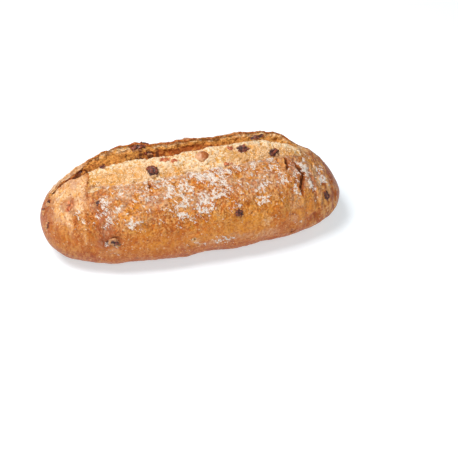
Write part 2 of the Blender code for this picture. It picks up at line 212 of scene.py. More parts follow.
THIN_WRINKLES = 0.7  # how much a thin film of flour wrinkles beside a thick one
WARP = (6, 2.2)  # size and reach of the bends in the wrinkles
EAR_SMOOTH = (0.7, 0.3)  # how smooth the ear's back is at its edge, and up to which share of it
BLISTERS = (7, 0.2, 0.45)  # distance apart, radius as a share of that, height
PORES = (3, 0.32, -1.6)

# Soft folds of the crust round the ends:
# station, drift of the station over 90 degrees, first and last angle, half width, depth
FOLDS = (
    (-0.735, 0.02, 28, 105, 2.2, 1.5), (-0.8, -0.03, 15, 90, 2.6, 1),
    (-0.88, 0.02, 20, 100, 2.4, 1), (-0.64, 0.015, 50, 110, 2.8, 0.8),
    (-0.78, 0.01, -110, -60, 3, 1.2), (-0.64, -0.015, -100, -70, 2.6, 0.9),
    (0.56, 0.03, 62, 105, 2.6, 0.9), (0.69, -0.02, 66, 115, 2.4, 1.4),
    (0.755, 0.015, 22, 110, 2.4, 2.2), (0.83, -0.01, 20, 95, 2.2, 1.8),
    (0.9, 0.01, 35, 105, 2.2, 1.4), (0.76, 0.02, -105, -45, 3, 1.3),
    (0.86, -0.01, -95, -40, 2.4, 1),
)
FOLD_END = 15  # degrees over which a fold fades
FOLD_WANDER = (9, 3)  # millimetres
FOLD_REACH = 3  # half widths

# Cracks of the crust: width and depth in the middle, how dark its floor is painted as painted
# shade, then the places that each one runs through
CRACKS = (
    (4, 4.4, 0.95, ((0.6, 10), (0.604, 20), (0.59, 36))),
    (5.4, 4.6, 0.9, ((0.648, 20), (0.668, 31), (0.694, 42), (0.668, 52), (0.658, 61), (0.668, 70))),
    (2.4, 2, 0.9, ((0.56, 111), (0.59, 107), (0.622, 103))),
    (2.4, 1.8, 0.45, ((-0.668, -3), (-0.69, 8), (-0.705, 19), (-0.712, 31), (-0.722, 44))),
    (3, 2.8, 0.7, ((-0.322, 27), (-0.316, 32), (-0.322, 37))),
    (1.8, 0.8, 0, ((-0.712, 32), (-0.722, 46), (-0.71, 60), (-0.695, 76), (-0.7, 88))),
    (1.6, 0.8, 0, ((-0.66, 62), (-0.672, 74), (-0.655, 84), (-0.672, 92))),
    (1.6, 0.8, 0, ((-0.82, 44), (-0.8, 52), (-0.815, 60), (-0.79, 66))),
    (1.6, 0.9, 0.1, ((0.805, 48), (0.79, 58), (0.8, 70), (0.78, 84))),
    (1.6, 0.9, 0.1, ((-0.16, 47), (-0.15, 52), (-0.158, 58))),
    (2.4, 2, 0.5, ((0.69, -64), (0.705, -74), (0.69, -86), (0.7, -96))),
    (2, 1.6, 0.4, ((-0.52, -84), (-0.535, -92), (-0.52, -102))),
)
CRACK_WANDER = (3, 1.2)  # millimetres
CRACK_RIM = (1.5, 0.7)  # width and height of the raised crust beside a crack
CRACK_FLOOR = (0.28, 0.4)  # half width of the painted shade on its floor: share of the crack's, and millimetres
CRACK_REACH = 7
CRACK_SHAPE = (0.6, 0.8)  # how soon a crack is full from its ends, and from its sides
CRACK_LEAST = 0.05  # the least share of its width that it narrows to
# What a crack shows inside: strength, and between which depths inside it grows
CRACK_LOOKS = {"crumb": (0.6, 0.2, 0.6), "torn": (1, 0, 0.6), "toast": (1, 0, 0.3)}
CRACK_CLEAR = 0.4  # depth inside a crack from which no flour lies

# Patches: station, angle, half length and half height in millimetres, strength
FLOUR_PATCHES = (
    (0.14, 44, 74, 19, 0.37), (-0.42, 48, 28, 20, 0.31), (0.76, 45, 16, 20, 0.36),
    (-0.04, 50, 27, 22, 0.52), (0.02, 30, 26, 8, 0.45), (0.12, 50, 14, 14, 0.3),
    (-0.2, 44, 9, 10, 0.4), (-0.06, 66, 22, 8, 0.6), (0.37, 50, 12, 14, 0.5), (0.4, 62, 12, 5, 0.6),
    (0.53, 36, 8, 18, 0.6), (0.71, 30, 5, 18, 0.85), (0.71, 52, 5, 9, 0.8), (0.63, 50, 4, 12, 0.8),
    (0.83, 44, 5, 9, 0.35), (0.44, 20, 26, 6, 0.55), (0, 28, 36, 4, 0.55), (-0.29, 44, 8, 7, 0.45),
    (-0.58, 56, 10, 14, 0.4), (-0.66, 40, 6, 8, 0.6), (-0.49, 68, 4, 6, 0.6),
    (-0.54, 28, 12, 6, 0.4), (-0.68, 58, 4, 4, 0.5), (0.08, 97, 15, 5, 0.68),
    (-0.1, 94, 8, 3.5, 0.55), (0.62, 95, 4, 4, 0.55), (-0.62, 98, 7, 3, 0.35),
    (-0.8, 60, 6, 12, 0.18), (-0.6, 88, 10, 6, 0.35), (-0.3, -82, 26, 15, 0.75),
    (-0.1, -96, 14, 9, 0.6), (0.3, -76, 20, 16, 0.6), (0.7, -84, 12, 12, 0.55),
    (-0.74, -78, 9, 10, 0.5), (0, -62, 70, 10, 0.45),
)
HAZE_PATCHES = (
    (-0.46, 44, 30, 20, 0.8), (-0.05, 44, 30, 18, 0.6), (0.35, 42, 32, 16, 0.65),
    (0.68, 40, 16, 24, 0.7), (-0.62, 84, 8, 16, 0.45), (-0.05, 27, 60, 5, 0.7),
    (0.45, 20, 20, 5, 0.6), (0.6, 84, 6, 20, 0.45), (0.1, 96, 40, 5, 0.4),
    (-0.84, 46, 10, 16, 0.25), (-0.2, -80, 60, 20, 0.6), (0.45, -80, 30, 18, 0.55),
    (0.86, -66, 12, 16, 0.4), (-0.7, -74, 16, 16, 0.5),
)
PALE_PATCHES = (
    (-0.79, 2, 17, 22, 1), (-0.9, 42, 11, 16, 0.65), (-0.76, 36, 8, 9, 0.7),
    (0.42, 100, 14, 8, 0.6), (-0.15, 62, 12, 6, 0.4), (0.86, 48, 8, 8, 0.5),
    (-0.6, -48, 50, 8, 0.55), (-0.08, 92, 6, 4, 0.6), (-0.85, -60, 14, 20, 0.4),
    (0.4, 84, 5, 7, 0.5), (0.3, -104, 14, 7, 0.5), (-0.55, -96, 12, 7, 0.5),
    (0.795, 55, 3, 26, 0.6), (0.87, 50, 3, 24, 0.5), (-0.765, 70, 3, 22, 0.45),
    (-0.84, 62, 3, 22, 0.5), (0.75, -22, 11, 12, 0.7),
)
GOLDEN_PATCHES = (
    (0.42, 9, 30, 8, 1), (-0.5, 12, 30, 9, 0.8), (-0.14, 21, 12, 3.5, 0.7), (0.62, 8, 10, 6, 0.7),
    (0.2, -6, 9, 3, 0.4), (-0.3, 6, 8, 4, 0.35), (0.1, 8, 8, 3, 0.35),
)
RED_PATCHES = (
    (-0.645, 64, 10, 28, 0.7), (-0.94, 60, 8, 20, 0.4), (0.73, 95, 6, 5, 0.9),
    (-0.87, 76, 16, 12, 0.42), (0.75, 50, 3, 26, 0.6), (0.832, 50, 3, 28, 0.55),
    (0.905, 55, 3, 24, 0.5), (-0.735, 62, 2.5, 24, 0.45), (-0.8, 56, 2.5, 20, 0.45),
    (-0.66, 12, 9, 5, 0.75), (-0.67, 42, 6, 5, 0.65), (0.5, 12, 10, 4, 0.55),
    (0.66, 40, 9, 20, 0.6), (0.92, 60, 14, 34, 0.38), (-0.2, 27, 10, 3, 0.45),
    (-0.83, 28, 6, 7, 0.8), (-0.97, 10, 6, 20, 0.6), (0.35, 20, 20, 3, 0.4),
    (-0.61, 84, 10, 8, 0.5), (-0.8, 85, 14, 12, 0.3), (-0.3, 66, 8, 12, 0.3),
    (0.5, 70, 12, 8, 0.25), (0.2, 66, 10, 6, 0.3), (-0.96, -70, 10, 30, 0.5),
    (0.94, -60, 12, 34, 0.5), (0.1, -70, 40, 20, 0.25),
)
CRUMB_PATCHES = (
    (-0.655, 22, 6.5, 2.6, 0.8), (-0.58, 86, 4, 3, 0.85), (-0.087, 90, 2.4, 1.8, 0.85),
    (-0.655, 10, 7, 5, 0.55), (-0.75, 8, 12, 10, 0.35),
)
# Painted shade in the groove, in dents and round fruit, and charred bits of the burst blister
SHADE_AND_CHAR_PATCHES = (
    (-0.59, 78, 6, 1.8, 0.65), (-0.635, 84, 2.4, 3.5, 0.75), (-0.562, 85, 2.6, 4.5, 0.65),
    (-0.825, 31, 3, 1.4, 0.6), (-0.8, 24, 1.4, 2.6, 0.5), (-0.082, 91, 1.4, 1, 0.9),
    (-0.68, 4, 1.6, 5, 0.5), (-0.645, 13, 6, 1.2, 0.5), (0.403, 75, 1.2, 1, 0.7),
    (0.45, 80, 1.6, 1, 0.6), (0.471, -6, 0.9, 0.9, 0.8), (-0.645, 28, 7, 3, 0.35),
    (-0.66, 40, 4, 3, 0.3), (-0.14, 62, 9, 3, 0.28), (-0.52, -22, 12, 2, 0.35),
    (-0.245, -25.5, 3.6, 1.8, 0.85), (-0.195, -26.5, 2.2, 1.2, 0.75),
    (-0.305, -26.5, 2.6, 1.5, 0.75), (-0.4, -28, 2, 1.2, 0.6), (-0.05, -27, 2.4, 0.9, 0.55),
)
DENTS = (
    (-0.594, 84, 8, 5.5, 1.6), (-0.082, 91, 1.8, 1.4, 1.4), (0.471, -6, 1.4, 1.4, 1),
    (-0.66, 8, 10, 4, 0.8), (0.73, 95, 5, 4, 1.2), (0.62, 66, 4, 8, 1.2),
)
PATCH_REACH = 2.2
PATCH_EDGE = 1.5
CREASE = (-0.668, -3, -0.0018)  # station where the bloom starts, down to which angle, its drift
# How soft that start is at the front, how much softer at the back, and the angles between
CREASE_EDGE = 0.006
CREASE_FADE = 0.05
CREASE_TURN = (8, 26)
BLOOM_END = (0.7, 0.8)

SEATED = ("raisin_23", "raisin_24")  # fruit with a rim of dough
# That rim: width, height, unevenness and its size, in millimetres
SEAT_RIM = (2.2, 0.35, 2.2, 3.2)
SEAT_REACH = 3  # widths
SEAT_HOLLOW = (-0.3, 0.25)  # noise between which the dough sinks under the fruit
SEAT_LOOKS = {"dark": 0.9, "toast": 0.5, "flour": 0.7}
SEAT_SHADE = 1 * MM  # width of the line of painted shade where dough and fruit meet

# Columns round the section, from under the middle by the front to under the middle again
COLUMNS = (
    ("base_front", 10), ("front", 106), ("lip", 4), ("bloom", 72), ("tear", 26), ("ear_back", 24),
    ("back", 46), ("base_back", 10),
)
ZONES = tuple(name for name, _ in COLUMNS)
STATIONS = 328
FINE_STATIONS = 4000
TIP_SPOT = ("front", 0.3)  # where the point that closes each tip lies
COVERED_BY = ("toast", "pale", "flour", "haze", "crumb", "dark")  # masks that patches make
MASKS = (*COVERED_BY, "torn", "loose", "height")

# Fruit: how often its solid is subdivided, and how much that pulls it in
FRUIT_LEVELS = 3
AXIS_GUESS = Vector((1, 0.3, 0.1))  # where the search for a fruit's long axis starts
AXIS_ROUNDS = 20
REFILL = {"raisin": 1, "dried_fruit": 1.08, "nut": 1.02}
FOLD_STRETCH = 0.65  # folds run along a fruit: they are this much closer across it
FOLD_MEAN = 0.45
FRUIT_SEEDS = (7, 3.7, 50)  # from fruit to fruit, from noise to noise, and of the film's edge
NUT_PAINTED_LIGHT = -0.5  # how much lighter the nut's left side is painted, as painted light from the left
FILM_EDGE = (0.4, 0.5, 2.2)  # how softly the film ends, how far it frays, and the frays' size
FOLD_SIZES = {
    "raisin": ((3.4, 0.9), (1.8, 0.9), (1, 0.4)),
    "dried_fruit": ((2.6, 1.3), (1.4, 0.9)),
    "nut": ((6, 0.25), (1.8, 0.07)),
}
# Height, as a share of the fruit's, up to which dough covers it
BARE_UP_TO = -0.1
COVERED = {
    "raisin_01": -0.6, "raisin_02": -0.5, "raisin_03": -0.5, "raisin_12": -0.5,
    "raisin_09": 0.35, "raisin_10": 0.35, "raisin_11": 0.5, "raisin_13": 0.6,
    "raisin_14": 0.45, "raisin_15": 0.55, "dried_fruit_01": 0.1, "dried_fruit_02": 0.1,
    "dried_fruit_03": 0.05, "dried_fruit_04": 0, "dried_fruit_05": 0.3,
}

# Clumps of flour and crumbs: the mask that they follow, how many lie on a square metre, and the
# seed, then the least and greatest scales of one
SCATTERED = {"flour": ("flour", 4.3e6, 3), "crumbs": ("loose", 1.6e6, 5)}
LUMP_SCALES = ((0.5, 0.5, 0.35), (1.7, 1.2, 0.8))
# Curled clumps, the specks that break them up and the drifts that they lie in, which the crust's
# finish and the scattered grains share: size in millimetres, seed, detail, distortion, and how
# much each noise counts
CLUMPS = ((2.3, 6, 3, 0.8, 3.2), (1.3, 16, 0.5, 0, 2.4), (9, 26, 1, 0.5, 3))
CLUMP_RANGE = (0.92, 1.1)  # where a clump starts, and where it is thick
CLUMPS_IN = (0.02, 0.12)  # the mask at which clumps may start, and may lie anywhere
LUMP_TILT = (0.5, 0.5, math.pi)
LUMP_ROUGH = (0.7, 1.5)  # bumps on a radius, and how far they reach in radii
ROUGH_ABOVE = (34 * MM, 58 * MM)  # heights between which the crust grows rough
DARK_BELOW = (14 * MM, 40 * MM)  # heights between which the crust near the base grows darker
ENDS = (84 * MM, 118 * MM)  # how far from the middle the streaks of the ends start and are full
TIPS = (116 * MM, 132 * MM)  # and how far out they fade again
FLOUR_ABOVE = (1 * MM, 4 * MM)

# Patterns of the crust's finish: size in millimetres, seed, detail, distortion
PATTERNS = {
    "broad": (22, 1, 2, 0), "patchy": (7, 2, 3, 0.3), "mottle": (3, 3, 4, 0.6),
    "fine": (1.8, 4, 1.5, 0), "pits": (2.2, 15, 1, 0.4), "grit": (0.8, 5, 2, 0),
    "drifts": (9, 7, 3, 0), "veins": (6, 8, 2, 1.5), "creases": (5, 13, 3, 1.2),
}
THREAD = 0.03  # veins and creases run where their noise is this near to its mean
STREAKS = (2.4, 14, 3, 0)
DRAWN = (1, 0.3, 0.3)  # the streaks are drawn out round the loaf
# Round specks: distance apart in millimetres, seed, and where they start and are full
SPOTS = {"pinholes": (2.8, 9, 0.34, 0.2), "specks": (6, 18, 0.2, 0.14)}
PALE_BLISTERS_IN = (0.4, 0.6)
# Mixes of the patterns
MIXES = {
    "patches": {"broad": 0.5, "patchy": 0.5}, "dapples": {"mottle": 0.5, "patchy": 0.5},
    "ripples": {"fine": 0.6, "mottle": 0.4}, "hollows": {"pits": 0.7, "patchy": 0.3},
    "fibres": {"fine": 0.5, "streaks": 0.5}, "dust": {"fine": 0.5, "grit": 0.5},
    "crumble": {"mottle": 0.5, "fine": 0.5},
}
# Masks as the finish reads them: how far patterns fray the mesh's own mask, and where it starts
# and is full
FRAYED = {
    "crumb": ("crumb", {"mottle": 0.8, "fine": 0.4}, 0.35, 0.65),
    "toast": ("toast", {"patchy": 0.7, "fine": 0.5}, 0.08, 0.85),
    "pale": ("pale", {"patchy": 1.2, "mottle": 0.8}, 0.15, 0.85),
    "dark": ("dark", {"fine": 1.2}, 0.3, 0.75),
    "deep": ("torn", {"mottle": 1.2, "fine": 0.8}, 0.5, 0.95),
    # Crests of the dough's relief, where light is painted
    "crests": ("height", {"patchy": 4, "mottle": 5, "fine": 6}, -1.2, 0.8),
}
SMOOTHED = 0.8  # how much less rough pale crust is
LEFT_END = 0.3  # strength of the left end's streaks beside the right one's
CALM_TIPS = 0.7  # how much the tips lose of them
UNDERSIDE = 0.9  # how red the crust is near the base
REDDENED = (0.3, 0.52, 0.66)  # and in broad patches: how red, where they start and are full
FILM = (0.35, 0.55, 0.42, 0.58)  # the same for fine patches of thin flour, after the least of it
# Shares that start at the first value and change by the second times another share
SHARES = {
    "deepened": (0.5, 0.05, "rough"), "flecked": (0.24, 0.41, "rough"),
    "untoasted": (1, -0.7, "toast"), "crusty": (1, -1, "pale"),
}
# Coats of colour, each one over those before it: the colour, its strength, and what multiplies
# it. That is a share's name, or a pattern's with where it starts and is full
SMOOTH_COATS = (
    # Honey dapples, and cream on the crests of the ripples as painted highlight
    ("honey", 0.75, ("dapples", 0.46, 0.54)), ("cream", 0.85, ("ripples", 0.5, 0.58)),
    ("torn", 0.75, ("hollows", 0.54, 0.6)),
)
CRUST_COATS = (
    ("brown", 1, ("patches", 0.42, 0.56)), ("smooth", 0.85, "pale"), ("red", 0.85, "toast"),
    # Red near the base, and red in the mottle's hollows as painted shade
    ("red", 1, "underside"), ("red", 1, "deepened", ("mottle", 0.52, 0.38), "crusty"),
    ("burnt", 0.32, ("pits", 0.56, 0.66)),
    ("amber", 1, "flecked", ("fibres", 0.48, 0.57), "untoasted"),
    # At the ends, amber on the streaks' ridges and red in their furrows: painted light and shade
    ("amber", 0.7, "ends", ("streaks", 0.5, 0.58)), ("red", 0.6, "ends", ("streaks", 0.48, 0.4)),
    # Amber veins, and red in the sunken creases as painted shade
    ("amber", 0.7, "veins", ("patchy", 0.45, 0.6)), ("red", 0.6, "rough", "creases"),
    # Pale on the raised blisters: their paler crust, and painted glints on them
    ("pale", 0.75, "pinholes"), ("burnt", 0.6, "specks"),
)
FACE_COATS = (
    ("honey", 0.9, ("crumble", 0.44, 0.54)), ("red", 0.7, ("dust", 0.52, 0.6)),
    ("red", 0.9, "deep"),
)
DOUGH_COATS = (
    # Cream on the dough's crests and honey left in its hollows: painted light and painted shade
    ("cream", 1, "crests"), ("torn", 0.6, ("pits", 0.56, 0.66), ("patchy", 0.46, 0.62)),
    ("honey", 0.7, "toast"), ("torn", 0.3, "toast"), ("face", 1, ("torn", 0, 0.4)),
)
FLOUR_COATS = (
    ("haze", 1, "haze", ("drifts", 0.36, 0.6), "film"),
    # Last, the burnt colour for charred bits and for painted shade
    ("flour", 0.85, "clumps", ("grit", 0.3, 0.6)), ("burnt", 0.9, "dark"),
)
# Roughness, coarseness of the relief, and the relief in millimetres
DULL = (0.34, {"patchy": 0.15, "crumb": 0.4, "clumps": 0.4})
COARSE = (0.35, {"rough": 0.95, "crumb": 0.7})
RELIEF = {"mottle": 0.9, "fine": 1.1, "grit": 0.35}
RAISED = {"clumps": 0.3, "pinholes": 0.3}
STREAKED = {"streaks": 0.9, "creases": -0.45}
CRUST_GLOSS = 0.17

# The same for the fruit's finish, and for the powders'
FRUIT_PATTERNS = {"fine": (1.8, 11, 3), "grit": (0.6, 12)}
FRUIT_FRAYED = {
    "ridges": ("ridge", {"fine": 1.2}, 0.35, 0.95), "film": ("film", {"fine": 1}, 0.45, 0.65),
}
FILM_COATS = (("crust", 1, "crusty"), ("crease", 0.6, ("grit", 0.52, 0.62)))
# Ridge colour on the folds' crests, as painted highlight
FRUIT_COATS = (("ridge", 1, "ridges"), ("film", 0.9, "film"))
FRUIT_DULL = (0.2, {"grit": 0.25, "film": 0.4})
FRUIT_RELIEF = {"fine": 0.5, "grit": 0.15}
FRUIT_GLOSS = 0.4
POWDER_GRIT = (1.1, 21)
POWDER_COATS = (("shade", 0.6, ("grit", 0.4, 0.65)),)
POWDER_DULL = (0.9, {"grit": 0.1})
POWDER_RELIEF = {"grit": 0.1}

# Stage
FLOOR_HALF = 4
FLOOR_GAP = 0.1 * MM
FLOOR_GRIT = (3, 31)
FLOOR_SHADE = 0.985
FLOOR_DULL = (0.9, {})
FLOOR_RELIEF = {"grit": 0.01}
FLOOR_GLOW = (0.455, 0.495, 0.51)
KEY_PLACE = (-0.52, -0.1, 1.22)
KEY_SIZE = 0.6
FILL_PLACE = (0.1, -1.3, 0.8)
FILL_SIZE = 1.2
FILL_TARGET = (0, 0, 0.03)

# The picture's camera, fitted to the loaf's outline
PICTURE = 458  # pixels
CAMERA_AZIMUTH = -13.5444
CAMERA_ELEVATION = 40
CAMERA_DISTANCE = 1.3
CAMERA_FOOT = Vector((-0.75, 1.053, 0)) * MM
PIXELS_PER_METRE = 1115.7
ORIGIN_IN_PICTURE = (190.99, 226.79)
SENSOR = 36
FAR = 50


def colour_field(name, description, default):
    return bpy.props.FloatVectorProperty(
        name=name, description=description, default=default, subtype="COLOR", min=0.0, max=1.0
    )


def share_field(name, description, default):
    return bpy.props.FloatProperty(
        name=name, description=description, default=default, subtype="FACTOR", min=0.0, max=2.0
    )


def length_field(name, description, default):
    return bpy.props.FloatProperty(
        name=name, description=description, default=default, unit="LENGTH",
        subtype="DISTANCE", min=0.0, precision=5,
    )


def power_field(name, description, default):
    return bpy.props.FloatProperty(
        name=name, description=description, default=default, unit="POWER", min=0.0
    )


class BREAD_PG_crust(bpy.types.PropertyGroup):
    """Relief and colours of the crust and the crumb."""

    relief: share_field("Fine relief", "Strength of the relief that the solid leaves out", 1.0)
    gold: colour_field("Golden crust", "Crust where it baked least", (0.60, 0.215, 0.021))
    brown: colour_field("Brown crust", "Crust over most of the loaf", (0.50, 0.128, 0.008))
    # Red is also painted in hollows, creases and furrows of the crust, as painted shade
    red: colour_field("Toasted crust", "Edges, cracks and ends that baked darkest", (0.33, 0.062, 0.009))
    # Amber is also painted on the ridges of the ends' streaks, as painted light
    amber: colour_field("Amber flecks", "Flecks and veins of the crust", (0.74, 0.37, 0.11))
    pale: colour_field("Pale crust", "Smooth crust that baked late", (0.72, 0.49, 0.30))
    haze: colour_field("Thin flour", "Crust under a thin film of flour", (0.57, 0.395, 0.275))
    # On the dough, cream marks its crests as painted light, and honey its hollows as painted shade
    cream: colour_field("Cream crumb", "Crests of the dough in the slash", (0.93, 0.75, 0.52))
    honey: colour_field("Honey crumb", "Hollows of that dough", (0.72, 0.35, 0.08))
    torn: colour_field("Torn crumb", "The torn face under the ear", (0.61, 0.235, 0.05))
    # Charred specks, and painted shade on crack floors, in the groove and round fruit
    burnt: colour_field("Burnt", "Charred specks, and the depth of cracks", (0.12, 0.035, 0.012))


class BREAD_PG_fruit(bpy.types.PropertyGroup):
    """Colours of the fruit and the nut."""

    # Fruit is painted lighter on its ridges and darker in its creases: painted highlight and shade
    raisin: colour_field("Raisin", "Creases of the raisins", (0.045, 0.011, 0.007))
    raisin_ridge: colour_field("Raisin ridges", "Ridges of the raisins", (0.25, 0.055, 0.022))
    dried_fruit: colour_field("Dried fruit", "Creases of the dried fruit", (0.34, 0.065, 0.02))
    dried_fruit_ridge: colour_field("Dried fruit ridges", "Ridges of it", (0.58, 0.19, 0.065))
    nut: colour_field("Nut", "Brown skin of the nut", (0.34, 0.095, 0.020))
    # The nut's crown colour is also painted over its left side, as painted light
    nut_ridge: colour_field("Nut crown", "Lighter skin on its crown", (0.62, 0.33, 0.17))
    dough: colour_field("Dough film", "Dough that sticks to the fruit", (0.68, 0.40, 0.19))
    crust: colour_field("Crust film", "Crust that sticks to the fruit", (0.56, 0.27, 0.11))


class BREAD_PG_dust(bpy.types.PropertyGroup):
    """Flour on the crust and crumbs in the slash."""

    flour: colour_field("Flour", "Flour that dusts the crust", (0.80, 0.76, 0.71))
    grain: length_field("Flour grain", "Radius of a clump of flour", 0.34 * MM)
    grains: share_field("Flour amount", "How densely clumps of flour lie", 1.0)
    crumb: length_field("Crumb", "Radius of a crumb", 0.38 * MM)
    crumbs: share_field("Crumb amount", "How densely crumbs lie in the slash", 1.0)


class BREAD_PG_stage(bpy.types.PropertyGroup):
    """Floor and light."""

    floor: colour_field("Floor", "Colour of the floor", (0.57, 0.59, 0.62))
    sky: share_field("Sky", "Strength of the light from all round", 0.24)
    key: power_field("Key light", "Power of the large light above the loaf", 20.0)
    fill: power_field("Fill light", "Power of the soft light in front", 7.6)


class Term:
    """A socket of a node tree, so that maths on it reads as an expression."""

    def __init__(self, maker, socket):
        self.maker = maker
        self.socket = socket

    def other(self, name):
        """Another socket of the same node."""
        return Term(self.maker, self.socket.node.outputs[name])

    def maths(self, operation, *values):
        return self.maker.node("ShaderNodeMath", {"operation": operation}, dict(enumerate(values)))

    def __add__(self, other):
        return self.maths("ADD", self, other)

    def __sub__(self, other):
        return self.maths("SUBTRACT", self, other)

    def __rsub__(self, other):
        return self.maths("SUBTRACT", other, self)

    def __mul__(self, other):
        return self.maths("MULTIPLY", self, other)

    def __rtruediv__(self, other):
        return self.maths("DIVIDE", other, self)

    def __abs__(self):
        return self.maths("ABSOLUTE", self)

    __radd__ = __add__
    __rmul__ = __mul__


class Maker:
    """A node tree in the making, and the one way to add a node to it."""

    def __init__(self, tree):
        self.tree = tree

    def node(self, kind, settings, inputs, output=0):
        """A new node with its settings and its inputs, given as values or as links."""
        made = self.tree.nodes.new(kind)
        for name, value in settings.items():
            setattr(made, name, value)
        for name, value in inputs.items():
            socket = made.inputs[name]
            if isinstance(value, Term):
                self.tree.links.new(value.socket, socket)
            elif socket.type == "RGBA":
                socket.default_value = (*tuple(value)[:3], 1.0)
            else:
                socket.default_value = value
        return Term(self, made.outputs[output]) if made.outputs else None

    def step(self, value, low, high):
        """A smooth step from 0 at low to 1 at high."""
        settings = {"interpolation_type": "SMOOTHSTEP"}
        return self.node("ShaderNodeMapRange", settings, {0: value, 1: low, 2: high})

    def clumps(self, amount, place):
        """Curled clumps, which grow together with the amount."""
        grown = amount
        for size, seed, detail, distortion, gain in CLUMPS:
            inputs = {
                "Vector": place, "W": seed, "Scale": 1 / (size * MM), "Detail": detail,
                "Distortion": distortion,
            }
            curls = self.node("ShaderNodeTexNoise", {"noise_dimensions": "4D"}, inputs)
            grown = grown + gain * (curls - 0.5)
        return self.step(grown, *CLUMP_RANGE) * self.step(amount, *CLUMPS_IN)


class Recipe(Maker):
    """A material in the making, with its patterns in object coordinates."""

    def __init__(self, name, patterns, paints):
        self.material = bpy.data.materials.new(name)
        self.material.use_nodes = True
        super().__init__(self.material.node_tree)
        self.tree.nodes.clear()
        self.place = self.node("ShaderNodeTexCoord", {}, {}, "Object")
        self.paints = dict(paints)
        self.now = {name: self.noise(*row) for name, row in patterns.items()}

    def noise(self, size, seed, detail=2.0, distortion=0.0, place=None):
        """Noise from 0 to 1, with bumps of that size in millimetres."""
        inputs = {
            "Vector": place or self.place, "W": seed, "Scale": 1 / (size * MM),
            "Detail": detail, "Distortion": distortion,
        }
        return self.node("ShaderNodeTexNoise", {"noise_dimensions": "4D"}, inputs)

    def spots(self, size, seed):
        """Distance to the nearest of scattered points, as a share of their spacing."""
        inputs = {"Vector": self.place, "W": seed, "Scale": 1 / (size * MM)}
        return self.node("ShaderNodeTexVoronoi", {"voronoi_dimensions": "4D"}, inputs, "Distance")

    def mask(self, name):
        """The mesh's own value of that name."""
        return self.node("ShaderNodeAttribute", {"attribute_name": name}, {}, "Fac")

    def blend(self, first, second, factor):
        """The first colour turned to the second by the factor."""
        inputs = {"Factor": factor, 6: first, 7: second}
        return self.node("ShaderNodeMix", {"data_type": "RGBA"}, inputs, 2)

    def fray(self, rows):
        """Name masks of the mesh, frayed by patterns."""
        for name, (mask, weights, start, full) in rows.items():
            frays = sum(weight * (self.now[pattern] - 0.5) for pattern, weight in weights.items())
            self.now[name] = self.step(self.mask(mask) + frays, start, full)

    def total(self, weights):
        """The weighted sum of named values."""
        return sum(weight * self.now[name] for name, weight in weights.items())

    def coated(self, base, coats):
        """A colour under coats of paint."""
        for paint, share, *factors in coats:
            for factor in factors:
                if isinstance(factor, str):
                    share = share * self.now[factor]
                else:
                    name, start, full = factor
                    share = share * self.step(self.now[name], start, full)
            base = self.blend(base, self.paints[paint], share)
        return base

    def finish(self, base, dull, relief, **constants):
        """The finished material: a colour, a roughness, a relief in millimetres, and constants."""
        normal = self.node("ShaderNodeBump", {}, {"Height": relief, "Distance": MM})
        roughness = dull[0] + self.total(dull[1])
        inputs = {"Base Color": base, "Roughness": roughness, "Normal": normal}
        inputs.update({name.replace("_", " "): value for name, value in constants.items()})
        surface = self.node("ShaderNodeBsdfPrincipled", {}, inputs)
        self.node("ShaderNodeOutputMaterial", {}, {"Surface": surface})
        return self.material


def ease(low, high, value):
    """0 below low, 1 above high, and a smooth rise between them."""
    s = min(max((value - low) / (high - low), 0.0), 1.0)
    return s * s * (3 - 2 * s)


def curve(pairs, t):
    """The smooth curve through (station, value) pairs, held level beyond its ends."""
    stations = [pair[0] for pair in pairs]
    values = [pair[1] for pair in pairs]
    if t <= stations[0]:
        return values[0]
    if t >= stations[-1]:
        return values[-1]
    i = max(k for k, station in enumerate(stations) if station <= t)
    last = len(pairs) - 1

    def slope(k):
        before, after = max(k - 1, 0), min(k + 1, last)
        return (values[after] - values[before]) / (stations[after] - stations[before])

    span = stations[i + 1] - stations[i]
    s = (t - stations[i]) / span
    start = (1 + 2 * s) * (1 - s) ** 2 * values[i] + s * (1 - s) ** 2 * span * slope(i)
    end = s * s * (3 - 2 * s) * values[i + 1] + s * s * (s - 1) * span * slope(i + 1)
    return start + end


def grain(point, size, seed):
    """Noise at a point, from -1 to 1, with bumps of that size in millimetres."""
    return noise.noise(point / (size * MM) + Vector((seed, 0.0, 0.0)))


def lumps(bumps, point, seed):
    """Height of the unevenness at a point: a sum of noises, in the unit of the bumps' heights."""
    total = 0.0
    for k, (size, height) in enumerate(bumps):
        total += height * noise.noise(point / (size * MM) + Vector((seed, LUMP_SEED * k, 0)))
    return total


def domes(bumps, point, seed):
    """Height of round bumps that lie scattered over the surface."""
    size, reach, height = bumps
    distances, _ = noise.voronoi(point / (size * MM) + Vector((seed, 0.0, 0.0)))
    away = distances[0] / reach
    return height * (1 - away * away) if away < 1 else 0.0


def taper(t, halves):
    """Share of the full size that is left at a station."""
    power, root = halves[0] if t < 0 else halves[1]
    return max(1 - abs(t) ** power, 0.0) ** (1 / root)


def zone_limits(t):
    """The angles that part the section's zones at a station, in the order of ZONES."""
    groove = curve(GROOVE_ANGLE, t)
    edge = curve(EDGE_ANGLE, t)
    share, seed = GROOVE_WANDER
    for size, degrees in EDGE_WANDER:
        along = Vector((t * LENGTH / 2 / (size * MM), 0, 0))
        groove += share * degrees * noise.noise(along + Vector((0, seed, 0)))
        edge += degrees * noise.noise(along)
    edge = max(edge, groove + LEAST_BLOOM)
    ear = groove - TEAR_ANGLE
    back = ear - EAR_SPREAD
    return (180, BASE_CORNER, edge, edge - LIP_ANGLE, groove, ear, back, -BASE_CORNER, -180)


